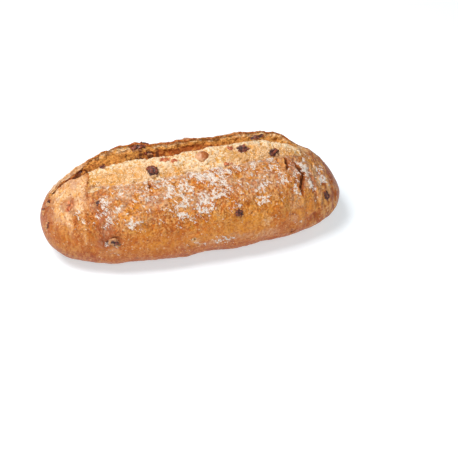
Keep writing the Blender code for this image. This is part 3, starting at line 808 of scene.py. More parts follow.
class Section:
    """A cross-section of the loaf, with all that its points have in common."""

    def __init__(self, t):
        self.t = t
        self.x = t * LENGTH / 2
        self.y = -BOW * (t * t - BOW_MEAN)
        self.limits = zone_limits(t)
        self.depth = curve(GROOVE_DEPTH, t)
        self.ear = curve(EAR_HEIGHT, t)
        self.step = curve(EDGE_STEP, t)
        self.rise = curve(BLOOM_RISE, t)
        self.open = ease(0.0, OPEN_EAR, self.ear)
        self.band = curve(BAND_START, t)
        self.toasted = curve(BAND_TOAST, t)
        self.brown = curve(FACE_BROWN, t)
        self.wide = curve(GROOVE_WIDE, t)
        tip = TIP_HEIGHT - TIP_DROP * t
        profile = taper(t, PROFILE_TAPER)
        self.centre = tip + (WIDEST_SHARE * CROWN_HEIGHT - tip) * profile
        crown = tip + (CROWN_HEIGHT * (1 - THINNING * t) - tip) * profile
        base = tip - (tip + BASE_SINK) * taper(t, BASE_TAPER)
        self.upper = max(crown - self.centre, TINY)
        self.lower = max(self.centre - base, TINY)
        plan = taper(t, PLAN_TAPER)
        self.front = max(FRONT_HALF_WIDTH * plan * (1 - THINNING * t), TINY)
        self.back = max(BACK_HALF_WIDTH * plan * (1 - THINNING * t), TINY)
        self.fade = min(plan * TIP_FADE, 1.0)
        self.patches = {name: self.near(rows) for name, rows in PATCHES.items()}

    def near(self, patches):
        """The patches that reach this section, with their distance along the loaf."""
        rows = []
        for station, angle, half_length, half_height, strength in patches:
            along = (self.t - station) * LENGTH / 2 / (half_length * MM)
            if abs(along) < PATCH_REACH:
                rows.append((along * along, angle, half_height * MM, strength))
        return rows

    def radius(self, angle):
        """Radius of the loaf before the slash, round the section's centre."""
        rise = math.cos(math.radians(angle))
        half_width = self.front if angle > 0 else self.back
        half_height, n = (self.upper, UPPER_ROUNDNESS) if rise > 0 else (self.lower, LOWER_ROUNDNESS)
        across = abs(math.sin(math.radians(angle))) / half_width
        return (across**n + (abs(rise) / half_height) ** n) ** (-1 / n)

    def point(self, angle, radius):
        """The point at that radius round the section's centre, kept above the base."""
        y = self.y - radius * math.sin(math.radians(angle))
        return Vector((self.x, y, max(self.centre + radius * math.cos(math.radians(angle)), 0.0)))

    def slash(self, zone, u):
        """How far the slash lifts or sinks the surface at share u of a zone, in millimetres."""
        curl, curl_start = LIP_CURL
        if zone == "front":
            return curl * self.step * ease(curl_start, 1.0, u)
        if zone == "lip":
            return self.step * (curl - (1 + curl) * u)
        if zone == "bloom":
            swelling, lean = SWELL
            fall_start, fall_power = GROOVE_FALL
            swell = (self.rise + self.step) * math.sin(math.pi * min(u / swelling, 1.0) ** lean)
            fall = self.depth * ease(fall_start, 1.0, u) ** fall_power
            return swell - self.step * (1 - ease(0.0, STEP_END, u)) - fall
        if zone == "tear":
            return -self.depth + (self.depth + self.ear) * (1 - (1 - u) ** TEAR_ROUNDING)
        if zone == "ear_back":
            return self.ear * (1 - u) ** EAR_FALL
        return 0.0

    def folds(self, angle, point):
        """Depth of the crust's soft folds at a place, in millimetres."""
        total = 0.0
        size, wander = FOLD_WANDER
        shift = wander * grain(point, size, SEEDS["folds"])
        for station, drift, first, last, half_width, depth in FOLDS:
            middle = station + drift * (angle - first) / 90
            away = ((self.t - middle) * LENGTH / 2 / MM + shift) / half_width
            if abs(away) < FOLD_REACH:
                window = ease(first, first + FOLD_END, angle)
                window *= 1 - ease(last - FOLD_END, last, angle)
                total += depth * math.exp(-away * away) * window
        return total

    def hits(self, name, angle, radius):
        """What a place takes of each patch of that name near it."""
        for along, middle, half_height, strength in self.patches[name]:
            across = math.radians(angle - middle) * radius / half_height
            yield strength * math.exp(-((along + across * across) ** PATCH_EDGE))

    def cover(self, name, angle, radius):
        """How much a place takes of all patches of that name, from 0 to 1."""
        return 1 - math.prod(1 - hit for hit in self.hits(name, angle, radius))


PATCHES = {
    "flour": FLOUR_PATCHES, "haze": HAZE_PATCHES, "pale": PALE_PATCHES, "golden": GOLDEN_PATCHES,
    "toast": RED_PATCHES, "crumb": CRUMB_PATCHES, "dark": SHADE_AND_CHAR_PATCHES, "dents": DENTS,
}


class Crack:
    """A crack of the crust, on the skin unrolled to millimetres along and round the loaf."""

    def __init__(self, width, depth, dark, spots):
        self.half_width = width / 2
        self.depth = depth
        self.dark = dark
        middle = spots[len(spots) // 2]
        self.radius = Section(middle[0]).radius(middle[1])
        self.path = [self.unrolled(t, angle) for t, angle in spots]
        self.runs = [0.0]
        for a, b in zip(self.path, self.path[1:]):
            self.runs.append(self.runs[-1] + (b - a).length)
        self.first = min(spot.x for spot in self.path) - CRACK_REACH
        self.last = max(spot.x for spot in self.path) + CRACK_REACH

    def unrolled(self, t, angle):
        return Vector((t * LENGTH / 2, math.radians(angle) * self.radius)) / MM

    def reaches(self, t):
        return self.first < t * LENGTH / 2 / MM < self.last

    def nearest(self, spot):
        """Distance from the crack's line, and how far along it, from 0 to 1."""
        best, where = CRACK_REACH, 0.0
        for a, b, run in zip(self.path, self.path[1:], self.runs):
            way = b - a
            s = min(max((spot - a).dot(way) / way.length_squared, 0.0), 1.0)
            away = (spot - a - way * s).length
            if away < best:
                best, where = away, (run + s * way.length) / self.runs[-1]
        return best, where

    def cut(self, t, angle, point):
        """Depth of the crack with its raised rim at a place, how far inside it, and how deep."""
        size, wander = CRACK_WANDER
        seeds = (SEEDS["crack_along"], SEEDS["crack_round"])
        shift = Vector([grain(point, size, seed) for seed in seeds]) * wander
        away, where = self.nearest(self.unrolled(t, angle) + shift)
        if away >= CRACK_REACH:
            return 0.0, 0.0, 0.0
        end_power, side_power = CRACK_SHAPE
        full = math.sin(math.pi * where) ** end_power if 0 < where < 1 else 0.0
        rim_width, rim_height = CRACK_RIM
        inside = max(1 - away / (self.half_width * max(full, CRACK_LEAST)), 0.0)
        rim = rim_height * full * math.exp(-(((away - self.half_width) / rim_width) ** 2))
        share, soft = CRACK_FLOOR
        floor = share * self.half_width + soft
        deep = full * (1 - ease(floor - soft, floor + soft, away))
        depth = self.depth * full * inside**side_power - rim * (1 - inside)
        return depth, min(inside * 2, 1.0) * full, deep


def lift(masks, name, value):
    """Raise a mask to at least a value."""
    masks[name] = max(masks[name], value)


def thin(masks, names, share):
    """Take a share off masks."""
    for name in names:
        masks[name] *= 1 - share


class Skin:
    """The loaf's surface in the making: its points, and the masks that its finish reads."""

    def __init__(self, strength):
        self.strength = strength
        self.seats = seat_tree()
        self.shift = loaf_shift()
        self.cracks = [Crack(*row) for row in CRACKS]
        self.points = []
        self.masks = {name: [] for name in MASKS}

    def add(self, section, zone, u, cracks):
        """Add the point at share u of a zone of a section."""
        i = ZONES.index(zone)
        angle = section.limits[i] + (section.limits[i + 1] - section.limits[i]) * u
        radius = section.radius(angle)
        bare = section.point(angle, radius)
        masks = self.looks(section, zone, u, angle, radius, bare)
        height = section.slash(zone, u) + self.broad(section, zone, u, angle, bare)
        fine = self.fine(zone, u, angle, bare, masks) - sum(section.hits("dents", angle, radius))
        masks["height"] = fine
        for crack in cracks:
            depth, inside, deep = crack.cut(section.t, angle, bare)
            fine -= depth
            # Painted shade on the crack's floor
            lift(masks, "dark", crack.dark * deep)
            for name, (share, low, high) in CRACK_LOOKS.items():
                lift(masks, name, share * crack.dark * ease(low, high, inside))
            thin(masks, ("flour", "haze"), ease(0, CRACK_CLEAR, inside))
        radius += (height + self.strength * fine) * section.fade * MM
        lean = self.lean(section, zone, u, section.point(angle, radius), masks["crumb"])
        angle += math.degrees(lean * self.strength * section.fade * MM / max(radius, MM))
        self.seat(section, angle, max(radius, LEAST_RADIUS), masks)

    def seat(self, section, angle, radius, masks):
        """Add the point. Round a piece of fruit the dough rises here and sinks there."""
        width, height, uneven, size = SEAT_RIM
        spot = section.point(angle, radius) + self.shift
        for name in ("flour", "crumb"):
            masks[name] *= ease(*FLOUR_ABOVE, spot.z)
        _, _, _, away = self.seats.find_nearest(spot, SEAT_REACH * width * MM)
        if away is not None:
            ring = math.exp(-((away / (width * MM)) ** 2))
            wave = grain(spot, size, SEEDS["seats"])
            radius += (height + uneven * wave) * ring * MM
            # A line of painted shade where the dough meets the fruit
            shade = ease(*SEAT_HOLLOW, -wave) * (1 - ease(0.0, SEAT_SHADE, away))
            lift(masks, "dark", SEAT_LOOKS["dark"] * shade)
            lift(masks, "toast", SEAT_LOOKS["toast"] * ring)
            thin(masks, ("flour",), SEAT_LOOKS["flour"] * ring)
        self.points.append(section.point(angle, radius) + self.shift)
        for name, values in self.masks.items():
            values.append(masks[name])

    def looks(self, section, zone, u, angle, radius, point):
        """What the finish at a place is made of, with the shade painted on it, each from 0 to 1."""
        masks = {name: section.cover(name, angle, radius) for name in COVERED_BY}
        masks.update(torn=0.0, loose=0.0)
        rough = grain(point, FRAY_SIZE, SEEDS["frays"])
        frayed = u + FRAY.get(zone, 0.0) * rough
        is_open, toasted = section.open, section.toasted
        slashed = is_open * self.slashed(section, angle, rough)
        if zone == "front":
            edge = slashed * ease(*EDGE_START, frayed)
            lift(masks, "pale", EDGE_PALE * edge)
            lift(masks, "haze", edge * (EDGE_HAZE - rough))
            lift(masks, "toast", edge * (EDGE_TOAST + rough))
        if zone == "lip":
            lift(masks, "crumb", slashed * u)
            lift(masks, "pale", EDGE_PALE * slashed)
            lift(masks, "toast", slashed * (EDGE_TOAST + rough))
        if zone == "bloom":
            start, soft = FACE_START
            start -= GROOVE_REACH * section.wide
            groove = ease(start, start + soft, frayed)
            varied, added, before = BLOOM_GOLD
            golden = section.cover("golden", angle, radius) + varied * rough
            golden += added * (1 - ease(*before, u))
            masks.update(crumb=slashed, loose=slashed * (1 - groove))
            masks["torn"] = is_open * section.brown * groove
            masks["toast"] += (golden - masks["toast"]) * slashed
            thin(masks, ("pale", "flour", "haze"), slashed)
            # Painted shade in the groove's pockets
            lift(masks, "dark", self.pockets(section, 1 - u, point))
        if zone == "tear":
            band = ease(section.band, section.band + BAND_WIDTH, frayed)
            brown = FACE_GOLDEN + (section.brown - FACE_GOLDEN) * (1 - ease(*FACE_TURN, u))
            pale, lowered = BAND_PALE
            haze, cleared = BAND_HAZE
            masks.update(crumb=is_open * (1 - band), torn=is_open * brown)
            lift(masks, "toast", is_open * band * (toasted + EDGE_TOAST * rough))
            pale *= max(1 - lowered * toasted, 0.0) * band
            masks["pale"] += (pale - masks["pale"]) * is_open
            lift(masks, "haze", haze * (1 - cleared * toasted) * band * is_open)
            # Painted shade in the groove's pockets, up the torn face
            lift(masks, "dark", self.pockets(section, FACE_POCKETS * u, point))
            # Toasted colour along the crease under the edge, partly painted shade
            line, varied = NOTCH_TOAST_AND_SHADE
            lift(masks, "toast", line * is_open * self.notch(section, u) * (varied + rough))
        if zone == "ear_back":
            edge = is_open * (1 - ease(0.0, EAR_EDGE, frayed))
            haze, cleared = BAND_HAZE
            lift(masks, "toast", toasted * edge)
            masks["pale"] *= 1 - edge * toasted
            lift(masks, "pale", BAND_PALE[0] * (1 - toasted) * is_open)
            lift(masks, "haze", haze * (1 - cleared * toasted) * edge)
        return masks

    def slashed(self, section, angle, rough):
        """1 between the slash's ends, which lie further left at the back, and 0 beyond them."""
        start, level, drift = CREASE
        start += drift * max(angle - level, 0.0)
        soft = CREASE_EDGE + CREASE_FADE * ease(*CREASE_TURN, -angle)
        left = ease(start - soft, start + soft, section.t + soft * rough)
        return left * (1 - ease(*BLOOM_END, section.t + FRAY["ends"] * rough))

    def notch(self, section, u):
        """The crease under the crust's rolled edge, from 0 to 1."""
        half_width, place, _ = NOTCH
        return math.exp(-(((u - section.band - place) / half_width) ** 2))

    def pockets(self, section, away, point):
        """Painted shade in pockets low in the groove, which run together towards its left end."""
        left = 1 - ease(*POCKETS_LEFT, section.t)
        (start, lowered), (dark, darker) = POCKET_START, POCKET_SHADE
        near, far, further = POCKET_END
        start += lowered * left
        level = 0.0
        for k, (size, weight) in enumerate(POCKET_NOISES):
            level += weight * grain(point, size, SEEDS["pockets"] + 5 * k)
        pocket = ease(start, start + POCKET_RISE, level) * (1 - ease(near, far + further * left, away))
        return (dark + darker * left) * section.open * pocket

    def broad(self, section, zone, u, angle, point):
        """The solid's own unevenness at a place, in millimetres."""
        height = lumps(CRUST_LUMPS, point, SEEDS["crust"]) - section.folds(angle, point)
        within = math.sin(math.pi * u) * section.open
        if zone == "bloom":
            height += lumps(BLOOM_LUMPS, point, SEEDS["bloom"]) * within
            height -= GROOVE_SINK * section.wide * math.sin(math.pi * ease(*GROOVE_DIP, u))
        if zone == "tear":
            height += lumps(TEAR_LUMPS, point, SEEDS["tear"]) * within
        if zone in ("tear", "ear_back"):
            near_edge = u if zone == "tear" else (1 - u) ** 2
            ragged = lumps(EAR_RAGGED, point, SEEDS["ear"]) + lumps(EDGE_FINE, point, SEEDS["ear"])
            height += ragged * near_edge * section.open
        return height

    def fine(self, zone, u, angle, point, masks):
        """The finer unevenness that the solid leaves out, in millimetres."""
        crumb = masks["crumb"]
        height = 0.0
        if crumb < 1:
            low, high, least = LOW_CRUST
            crust = lumps(CRUST_FINE, point, SEEDS["crust_fine"])
            crust += domes(BLISTERS, point, SEEDS["blisters"])
            crust += self.ridges(CREPE, point, SEEDS["crepe"])
            crust += self.wrinkles(point, max(masks["flour"], THIN_WRINKLES * masks["haze"]))
            calm, calm_end = EAR_SMOOTH
            smooth = calm * (1 - ease(0.0, calm_end, u)) if zone == "ear_back" else 0.0
            share = least + (1 - least) * ease(low, high, abs(angle))
            height += (1 - crumb) * crust * share * (1 - smooth)
        if crumb > 0 and zone != "tear":
            dough = lumps(BLOOM_FINE, point, SEEDS["bloom_fine"])
            dough += domes(PORES, point, SEEDS["pores"])
            dough += self.ridges(STRANDS, point, SEEDS["strands"])
            flatter, start = BLOOM_CALM
            height += crumb * dough * (1 - flatter * ease(start, 1.0, u))
        return height

    def wrinkles(self, point, share):
        """Height of bent wrinkles, of which floured crust has more."""
        size, tall, crest = WRINKLES
        bend_size, reach = WARP
        bends = [grain(point, bend_size, SEEDS["bends"] + 9 * k) for k in range(3)]
        bent = point + Vector(bends) * reach * MM
        return tall * share * (crest - abs(grain(bent, size, SEEDS["wrinkles"])))

    def ridges(self, row, point, seed):
        """Height of narrow ridges that run round the loaf."""
        size, stretch, tall = row
        crest, steep = RIDGE_SHAPE
        drawn = Vector((point.x, point.y / stretch, point.z / stretch))
        return tall * (crest - steep * abs(grain(drawn, size, seed)))

    def lean(self, section, zone, u, point, crumb):
        """How far a place moves round the section towards the front, in millimetres."""
        if zone == "tear":
            caves = 0.0
            for k, (size, depth) in enumerate(TEAR_CAVES):
                caves += depth * ease(*CAVE_EDGE, grain(point, size, SEEDS["caves"] + 10 * k))
            end, power = CAVE_WINDOW
            caves *= crumb * math.sin(math.pi * min(u / end, 1.0)) ** power
            caves += NOTCH[2] * section.toasted * self.notch(section, u)
            return section.open * (EAR_LEAN * ease(*LEAN_FACE, u) - caves)
        if zone == "ear_back":
            return section.open * EAR_LEAN * (1 - ease(0.0, LEAN_BACK, u))
        return 0.0


def merged(node):
    """A node's solid as a closed bmesh. The node's own mesh stays as it is."""
    mesh = bmesh.new()
    mesh.from_mesh(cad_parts[node].data)
    bmesh.ops.remove_doubles(mesh, verts=mesh.verts, dist=WELD)
    return mesh


def fruit_nodes(kind):
    """Names of the nodes of one kind of fruit."""
    return sorted(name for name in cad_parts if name.startswith(kind))


def middle_of(points):
    return sum(points, Vector()) / len(points)


def seat_tree():
    """The fruit with a rim of dough, to find how near a place of the skin is to it."""
    corners, faces = [], []
    for node in SEATED:
        mesh = merged(node)
        first = len(corners)
        # Copies, as the mesh's own points are gone once it is freed
        corners += [vert.co.copy() for vert in mesh.verts]
        faces += [[first + vert.index for vert in face.verts] for face in mesh.faces]
        mesh.free()
    return BVHTree.FromPolygons(corners, faces)


def loaf_shift():
    """How far the solid was moved to centre it, read from its left tip."""
    tip = min((vert.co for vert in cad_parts["loaf"].data.vertices), key=lambda co: co.x)
    return Vector((0.0, tip.y - Section(-1.0).y, 0.0))


def even_stations():
    """Stations of the sections, evenly spaced along the loaf's side with its turn to the tips."""
    fine = [math.sin(math.pi * (k / FINE_STATIONS - 0.5)) for k in range(FINE_STATIONS + 1)]
    side = [Vector((t * LENGTH / 2, FRONT_HALF_WIDTH * taper(t, PLAN_TAPER))) for t in fine]
    runs = [0.0]
    for a, b in zip(side, side[1:]):
        runs.append(runs[-1] + (b - a).length)
    found, k = [-1.0], 0
    for step in range(1, STATIONS - 1):
        goal = runs[-1] * step / (STATIONS - 1)
        while runs[k + 1] < goal:
            k += 1
        found.append(fine[k] + (fine[k + 1] - fine[k]) * (goal - runs[k]) / (runs[k + 1] - runs[k]))
    return [*found, 1.0]


def add_piece(name, data, material, nodes=()):
    """A finished mesh as a piece that rides on the loaf's body and stands for its nodes."""
    data.name = name
    data.materials.clear()
    data.materials.append(material)
    data.shade_smooth()
    piece = bpy.data.objects.new(name, data)
    bpy.context.scene.collection.objects.link(piece)
    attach(piece, BODY)
    if nodes:
        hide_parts(*nodes)
    return piece


def applied(rough):
    """The mesh of an object with its modifiers applied. The object itself is removed."""
    graph = bpy.context.evaluated_depsgraph_get()
    data = bpy.data.meshes.new_from_object(rough.evaluated_get(graph))
    bpy.data.objects.remove(rough)
    return data


def add_masks(data, masks):
    """Store each mask's values on the mesh's points."""
    for name, values in masks.items():
        data.attributes.new(name, "FLOAT", "POINT").data.foreach_set("value", values)


def make_loaf(crust, dust):
    """The loaf's skin, closed by a point at each tip."""
    skin = Skin(crust.relief)
    steps = [(zone, k / count) for zone, count in COLUMNS for k in range(count)]
    ts = even_stations()
    for t in ts[1:-1]:
        section = Section(t)
        cracks = [crack for crack in skin.cracks if crack.reaches(t)]
        for zone, u in steps:
            skin.add(section, zone, u, cracks)
    for t in (-1.0, 1.0):
        skin.add(Section(t), *TIP_SPOT, ())
    count, rings = len(steps), len(ts) - 2
    left, right = count * rings, count * rings + 1
    faces = []
    for ring in range(rings - 1):
        a, b = ring * count, (ring + 1) * count
        faces += [(a + k, a + (k - 1) % count, b + (k - 1) % count, b + k) for k in range(count)]
    last = (rings - 1) * count
    faces += [((k - 1) % count, k, left) for k in range(count)]
    faces += [(last + k, last + (k - 1) % count, right) for k in range(count)]
    data = bpy.data.meshes.new("loaf_skin")
    data.from_pydata(skin.points, [], faces)
    data.update()
    add_masks(data, skin.masks)
    add_piece("loaf_skin", data, crust_finish(crust, dust.flour), ("loaf",))


def long_axis(points):
    """The direction in which points round the origin reach furthest."""
    rows = [sum((p * p[i] for p in points), Vector()) for i in range(3)]
    axis = AXIS_GUESS
    for _ in range(AXIS_ROUNDS):
        axis = (Matrix(rows) @ axis).normalized()
    return axis


def rounded(node):
    """A node's shape, subdivided until it is smooth."""
    mesh = merged(node)
    data = bpy.data.meshes.new("rough")
    mesh.to_mesh(data)
    mesh.free()
    rough = bpy.data.objects.new("rough", data)
    bpy.context.scene.collection.objects.link(rough)
    rounding = rough.modifiers.new("rounding", "SUBSURF")
    rounding.levels = rounding.render_levels = FRUIT_LEVELS
    return applied(rough)


def seating(point):
    """The direction away from the loaf's centre line at a point, and whether crust lies there."""
    section = Section(min(max(point.x / (LENGTH / 2), -1.0), 1.0))
    away = point - loaf_shift() - Vector((section.x, section.y, section.centre))
    angle = math.degrees(math.atan2(-away.y, away.z))
    edge, ear = section.limits[ZONES.index("lip")], section.limits[ZONES.index("ear_back")]
    crusty = 0.0 if ear < angle < edge and section.open > 0.5 else 1.0
    return Vector((0.0, away.y, away.z)).normalized(), crusty


def make_fruits(name, kind, colours):
    """All fruit of one kind, creased along its length, with dough left on its sides."""
    ridge = getattr(colours, f"{kind}_ridge")
    label = f"{kind.replace('_', ' ')} skin"
    material = fruit_finish(label, getattr(colours, kind), ridge, colours.dough, colours.crust)
    joined = bmesh.new()
    masks = {"ridge": [], "film": [], "crusty": []}
    for k, node in enumerate(fruit_nodes(kind)):
        data = rounded(node)
        centre = middle_of([vert.co for vert in data.vertices])
        axis = long_axis([vert.co - centre for vert in data.vertices])
        outward, crusty = seating(centre)
        bare = COVERED.get(node, BARE_UP_TO)
        tall = max((vert.co - centre).dot(outward) for vert in data.vertices)
        fruit_seed, noise_seed, film_seed = FRUIT_SEEDS
        soft, frays, fray_size = FILM_EDGE
        for vert in data.vertices:
            away = vert.co - centre
            drawn = away - axis * (away.dot(axis) * (1 - FOLD_STRETCH))
            fold = 0.0
            for j, (size, depth) in enumerate(FOLD_SIZES[kind]):
                seed = fruit_seed * k + noise_seed * j
                fold += depth * (2 * abs(grain(drawn, size, seed)) - FOLD_MEAN)
            level = away.dot(outward) / tall + frays * grain(away, fray_size, film_seed + k)
            # Painted light on the nut's left side
            painted_light = NUT_PAINTED_LIGHT * away.normalized().x if kind == "nut" else 0.0
            # Painted highlight on the folds' crests, painted shade in the creases
            masks["ridge"].append(min(max(0.5 + fold / 2 + painted_light, 0.0), 1.0))
            masks["film"].append(1 - ease(bare, bare + soft, level))
            masks["crusty"].append(crusty)
            vert.co = centre + away * REFILL[kind] + away.normalized() * fold * MM
        joined.from_mesh(data)
        bpy.data.meshes.remove(data)
    data = bpy.data.meshes.new(name)
    joined.to_mesh(data)
    joined.free()
    add_masks(data, masks)
    return add_piece(name, data, material, fruit_nodes(kind))


class Scatter(Maker):
    """A geometry tree that scatters small lumps over a mesh, where a mask of the mesh says."""

    INPUTS = (
        ("Geometry", "NodeSocketGeometry"), ("Mask", "NodeSocketString"),
        ("Density", "NodeSocketFloat"), ("Radius", "NodeSocketFloat"),
        ("Seed", "NodeSocketInt"), ("Material", "NodeSocketMaterial"),
    )

    def __init__(self, name):
        super().__init__(bpy.data.node_groups.new(name, "GeometryNodeTree"))
        for label, kind in self.INPUTS:
            self.tree.interface.new_socket(name=label, in_out="INPUT", socket_type=kind)
        self.tree.interface.new_socket(
            name="Geometry", in_out="OUTPUT", socket_type="NodeSocketGeometry"
        )
        entry = self.node("NodeGroupInput", {}, {})
        given = {label: entry.other(label) for label, _ in self.INPUTS}
        mask = self.node(
            "GeometryNodeInputNamedAttribute", {"data_type": "FLOAT"}, {"Name": given["Mask"]}
        )
        thick = self.clumps(mask, self.node("GeometryNodeInputPosition", {}, {}))
        points = self.node(
            "GeometryNodeDistributePointsOnFaces", {"distribute_method": "RANDOM"},
            {
                "Mesh": given["Geometry"], "Density": given["Density"] * thick,
                "Seed": given["Seed"],
            },
        )
        lump = self.node("GeometryNodeMeshIcoSphere", {}, {"Radius": given["Radius"]})
        turn = self.random(given["Seed"], [-angle for angle in LUMP_TILT], LUMP_TILT)
        turn = self.node("FunctionNodeEulerToRotation", {}, {"Euler": turn})
        turn = self.node(
            "FunctionNodeRotateRotation", {"rotation_space": "LOCAL"},
            {"Rotation": points.other("Rotation"), "Rotate By": turn},
        )
        placed = self.node(
            "GeometryNodeInstanceOnPoints", {},
            {
                "Points": points, "Instance": lump, "Rotation": turn,
                "Scale": self.random(given["Seed"] + 1, *LUMP_SCALES),
            },
        )
        solid = self.node("GeometryNodeRealizeInstances", {}, {"Geometry": placed})
        bumps, reach = LUMP_ROUGH
        finer = self.node("ShaderNodeTexNoise", {}, {"Scale": bumps / given["Radius"]}, "Color")
        away = self.node("ShaderNodeVectorMath", {"operation": "SUBTRACT"}, {0: finer, 1: (0.5,) * 3})
        away = self.node(
            "ShaderNodeVectorMath", {"operation": "SCALE"},
            {0: away, "Scale": given["Radius"] * reach},
        )
        uneven = self.node("GeometryNodeSetPosition", {}, {"Geometry": solid, "Offset": away})
        done = self.node(
            "GeometryNodeSetMaterial", {}, {"Geometry": uneven, "Material": given["Material"]}
        )
        self.node("NodeGroupOutput", {}, {"Geometry": done})

    def random(self, seed, low, high):
        inputs = {0: low, 1: high, "Seed": seed}
        return self.node("FunctionNodeRandomValue", {"data_type": "FLOAT_VECTOR"}, inputs)


def scatter(name, amount, radius, material):
    """A piece of small lumps scattered over the loaf's skin, with the tree's inputs by name."""
    (loaf,) = pieces_named("loaf_skin")
    mask, density, seed = SCATTERED[name]
    values = {
        "Mask": mask, "Density": density * amount, "Radius": radius, "Seed": seed,
        "Material": material,
    }
    maker = Scatter(name)
    rough = bpy.data.objects.new("rough", loaf.data.copy())
    bpy.context.scene.collection.objects.link(rough)
    modifier = rough.modifiers.new("scatter", "NODES")
    modifier.node_group = maker.tree
    for item in maker.tree.interface.items_tree:
        if item.name in values:
            modifier[item.identifier] = values[item.name]
    return add_piece(name, applied(rough), material)


def add_crust_values(make):
    """Name the values of the crust's finish beside its patterns: mixes, masks and shares."""
    now = make.now
    for name in ("veins", "creases"):
        now[name] = make.step(abs(now[name] - 0.5), THREAD, 0.0)
    drawn = make.node("ShaderNodeVectorMath", {"operation": "MULTIPLY"}, {0: make.place, 1: DRAWN})
    now["streaks"] = make.noise(*STREAKS, drawn)
    for name, (apart, seed, start, full) in SPOTS.items():
        now[name] = make.step(make.spots(apart, seed), start, full)
    now["pinholes"] = now["pinholes"] * make.step(now["patchy"], *PALE_BLISTERS_IN)
    for name, weights in MIXES.items():
        now[name] = make.total(weights)
    make.fray(FRAYED)
    height = make.node("ShaderNodeSeparateXYZ", {}, {"Vector": make.place}, "Z")
    along = height.other("X")
    now["rough"] = make.step(height, *ROUGH_ABOVE) * (1 - SMOOTHED * now["pale"])
    ends = make.step(along, *ENDS) + LEFT_END * make.step(0 - along, *ENDS)
    now["ends"] = ends * (1 - CALM_TIPS * make.step(abs(along), *TIPS))
    strength, start, full = REDDENED
    reddened = strength * make.step(now["broad"], start, full)
    now["underside"] = reddened + UNDERSIDE * (1 - make.step(height, *DARK_BELOW))
    for name, (first, change, share) in SHARES.items():
        now[name] = first + change * now[share]
    least, added, start, full = FILM
    now["film"] = least + added * make.step(now["fine"], start, full)
    now["torn"] = make.mask("torn")
    now["haze"] = make.mask("haze")
    now["clumps"] = make.clumps(make.mask("flour"), make.place)


def crust_finish(colours, flour_white):
    """Golden-brown crust, toasted at its edges, floured, with open crumb in the slash."""
    paints = {name: getattr(colours, name) for name in BREAD_PG_crust.__annotations__}
    make = Recipe("baked crust", PATTERNS, {**paints, "flour": flour_white})
    add_crust_values(make)
    make.paints["smooth"] = make.coated(colours.pale, SMOOTH_COATS)
    make.paints["face"] = make.coated(colours.torn, FACE_COATS)
    crust = make.coated(colours.gold, CRUST_COATS)
    dough = make.coated(colours.honey, DOUGH_COATS)
    base = make.coated(make.blend(crust, dough, make.now["crumb"]), FLOUR_COATS)
    least, coarse = COARSE
    relief = (least + make.total(coarse)) * make.total(RELIEF) + make.total(RAISED)
    relief += (make.now["rough"] + make.now["ends"]) * make.total(STREAKED)
    return make.finish(base, DULL, relief, Specular_IOR_Level=CRUST_GLOSS)


def fruit_finish(name, crease, ridge, dough, crust):
    """Skin of a dried fruit: darker in its creases, with dough or crust on its sides."""
    make = Recipe(name, FRUIT_PATTERNS, {"crease": crease, "ridge": ridge, "crust": crust})
    make.fray(FRUIT_FRAYED)
    make.now["crusty"] = make.mask("crusty")
    make.paints["film"] = make.coated(dough, FILM_COATS)
    base = make.coated(crease, FRUIT_COATS)
    return make.finish(base, FRUIT_DULL, make.total(FRUIT_RELIEF), Specular_IOR_Level=FRUIT_GLOSS)


def powder_finish(name, colour, shade):
    """Rough, matt lumps, a little darker here and there."""
    make = Recipe(name, {"grit": POWDER_GRIT}, {"shade": shade})
    base = make.coated(colour, POWDER_COATS)
    return make.finish(base, POWDER_DULL, make.total(POWDER_RELIEF))


def floor_finish(colour):
    """A plain pale floor with hardly any grain, which glows a little, so its shadows stay light."""
    shade = [FLOOR_SHADE * part for part in colour]
    make = Recipe("pale floor", {"grit": FLOOR_GRIT}, {"shade": shade})
    base = make.coated(colour, (("shade", 1, "grit"),))
    relief = make.total(FLOOR_RELIEF)
    return make.finish(base, FLOOR_DULL, relief, Emission_Color=FLOOR_GLOW, Emission_Strength=1.0)


def add_light(name, place, target, size, watts):
    """A large, soft, square light that faces its target."""
    lamp = bpy.data.lights.new(name, "AREA")
    lamp.size = size
    lamp.energy = watts
    made = bpy.data.objects.new(name, lamp)
    made.location = place
    made.rotation_euler = (Vector(target) - Vector(place)).to_track_quat("-Z", "Y").to_euler()
    bpy.context.scene.collection.objects.link(made)


def add_camera():
    """The picture's camera: it looks at the loaf from its azimuth, turned to frame it as pictured."""
    a, e = math.radians(CAMERA_AZIMUTH), math.radians(CAMERA_ELEVATION)
    back = Vector((math.sin(a) * math.cos(e), -math.cos(a) * math.cos(e), math.sin(e)))
    right = Vector((math.cos(a), math.sin(a), 0.0))
    level = Matrix((right, back.cross(right), back)).transposed()
    focal = PIXELS_PER_METRE * CAMERA_DISTANCE
    across, down = ORIGIN_IN_PICTURE
    aim = Vector((across - PICTURE / 2, PICTURE / 2 - down, -focal))
    turn = Vector((0, 0, -1)).rotation_difference(aim)
    data = bpy.data.cameras.new("camera")
    data.sensor_width = SENSOR
    data.lens = focal * SENSOR / PICTURE
    data.clip_end = FAR
    camera = bpy.data.objects.new("camera", data)
    turned = level @ turn.to_matrix().inverted()
    camera.matrix_world = Matrix.Translation(back * CAMERA_DISTANCE + CAMERA_FOOT) @ turned.to_4x4()
    bpy.context.scene.collection.objects.link(camera)
    bpy.context.scene.camera = camera


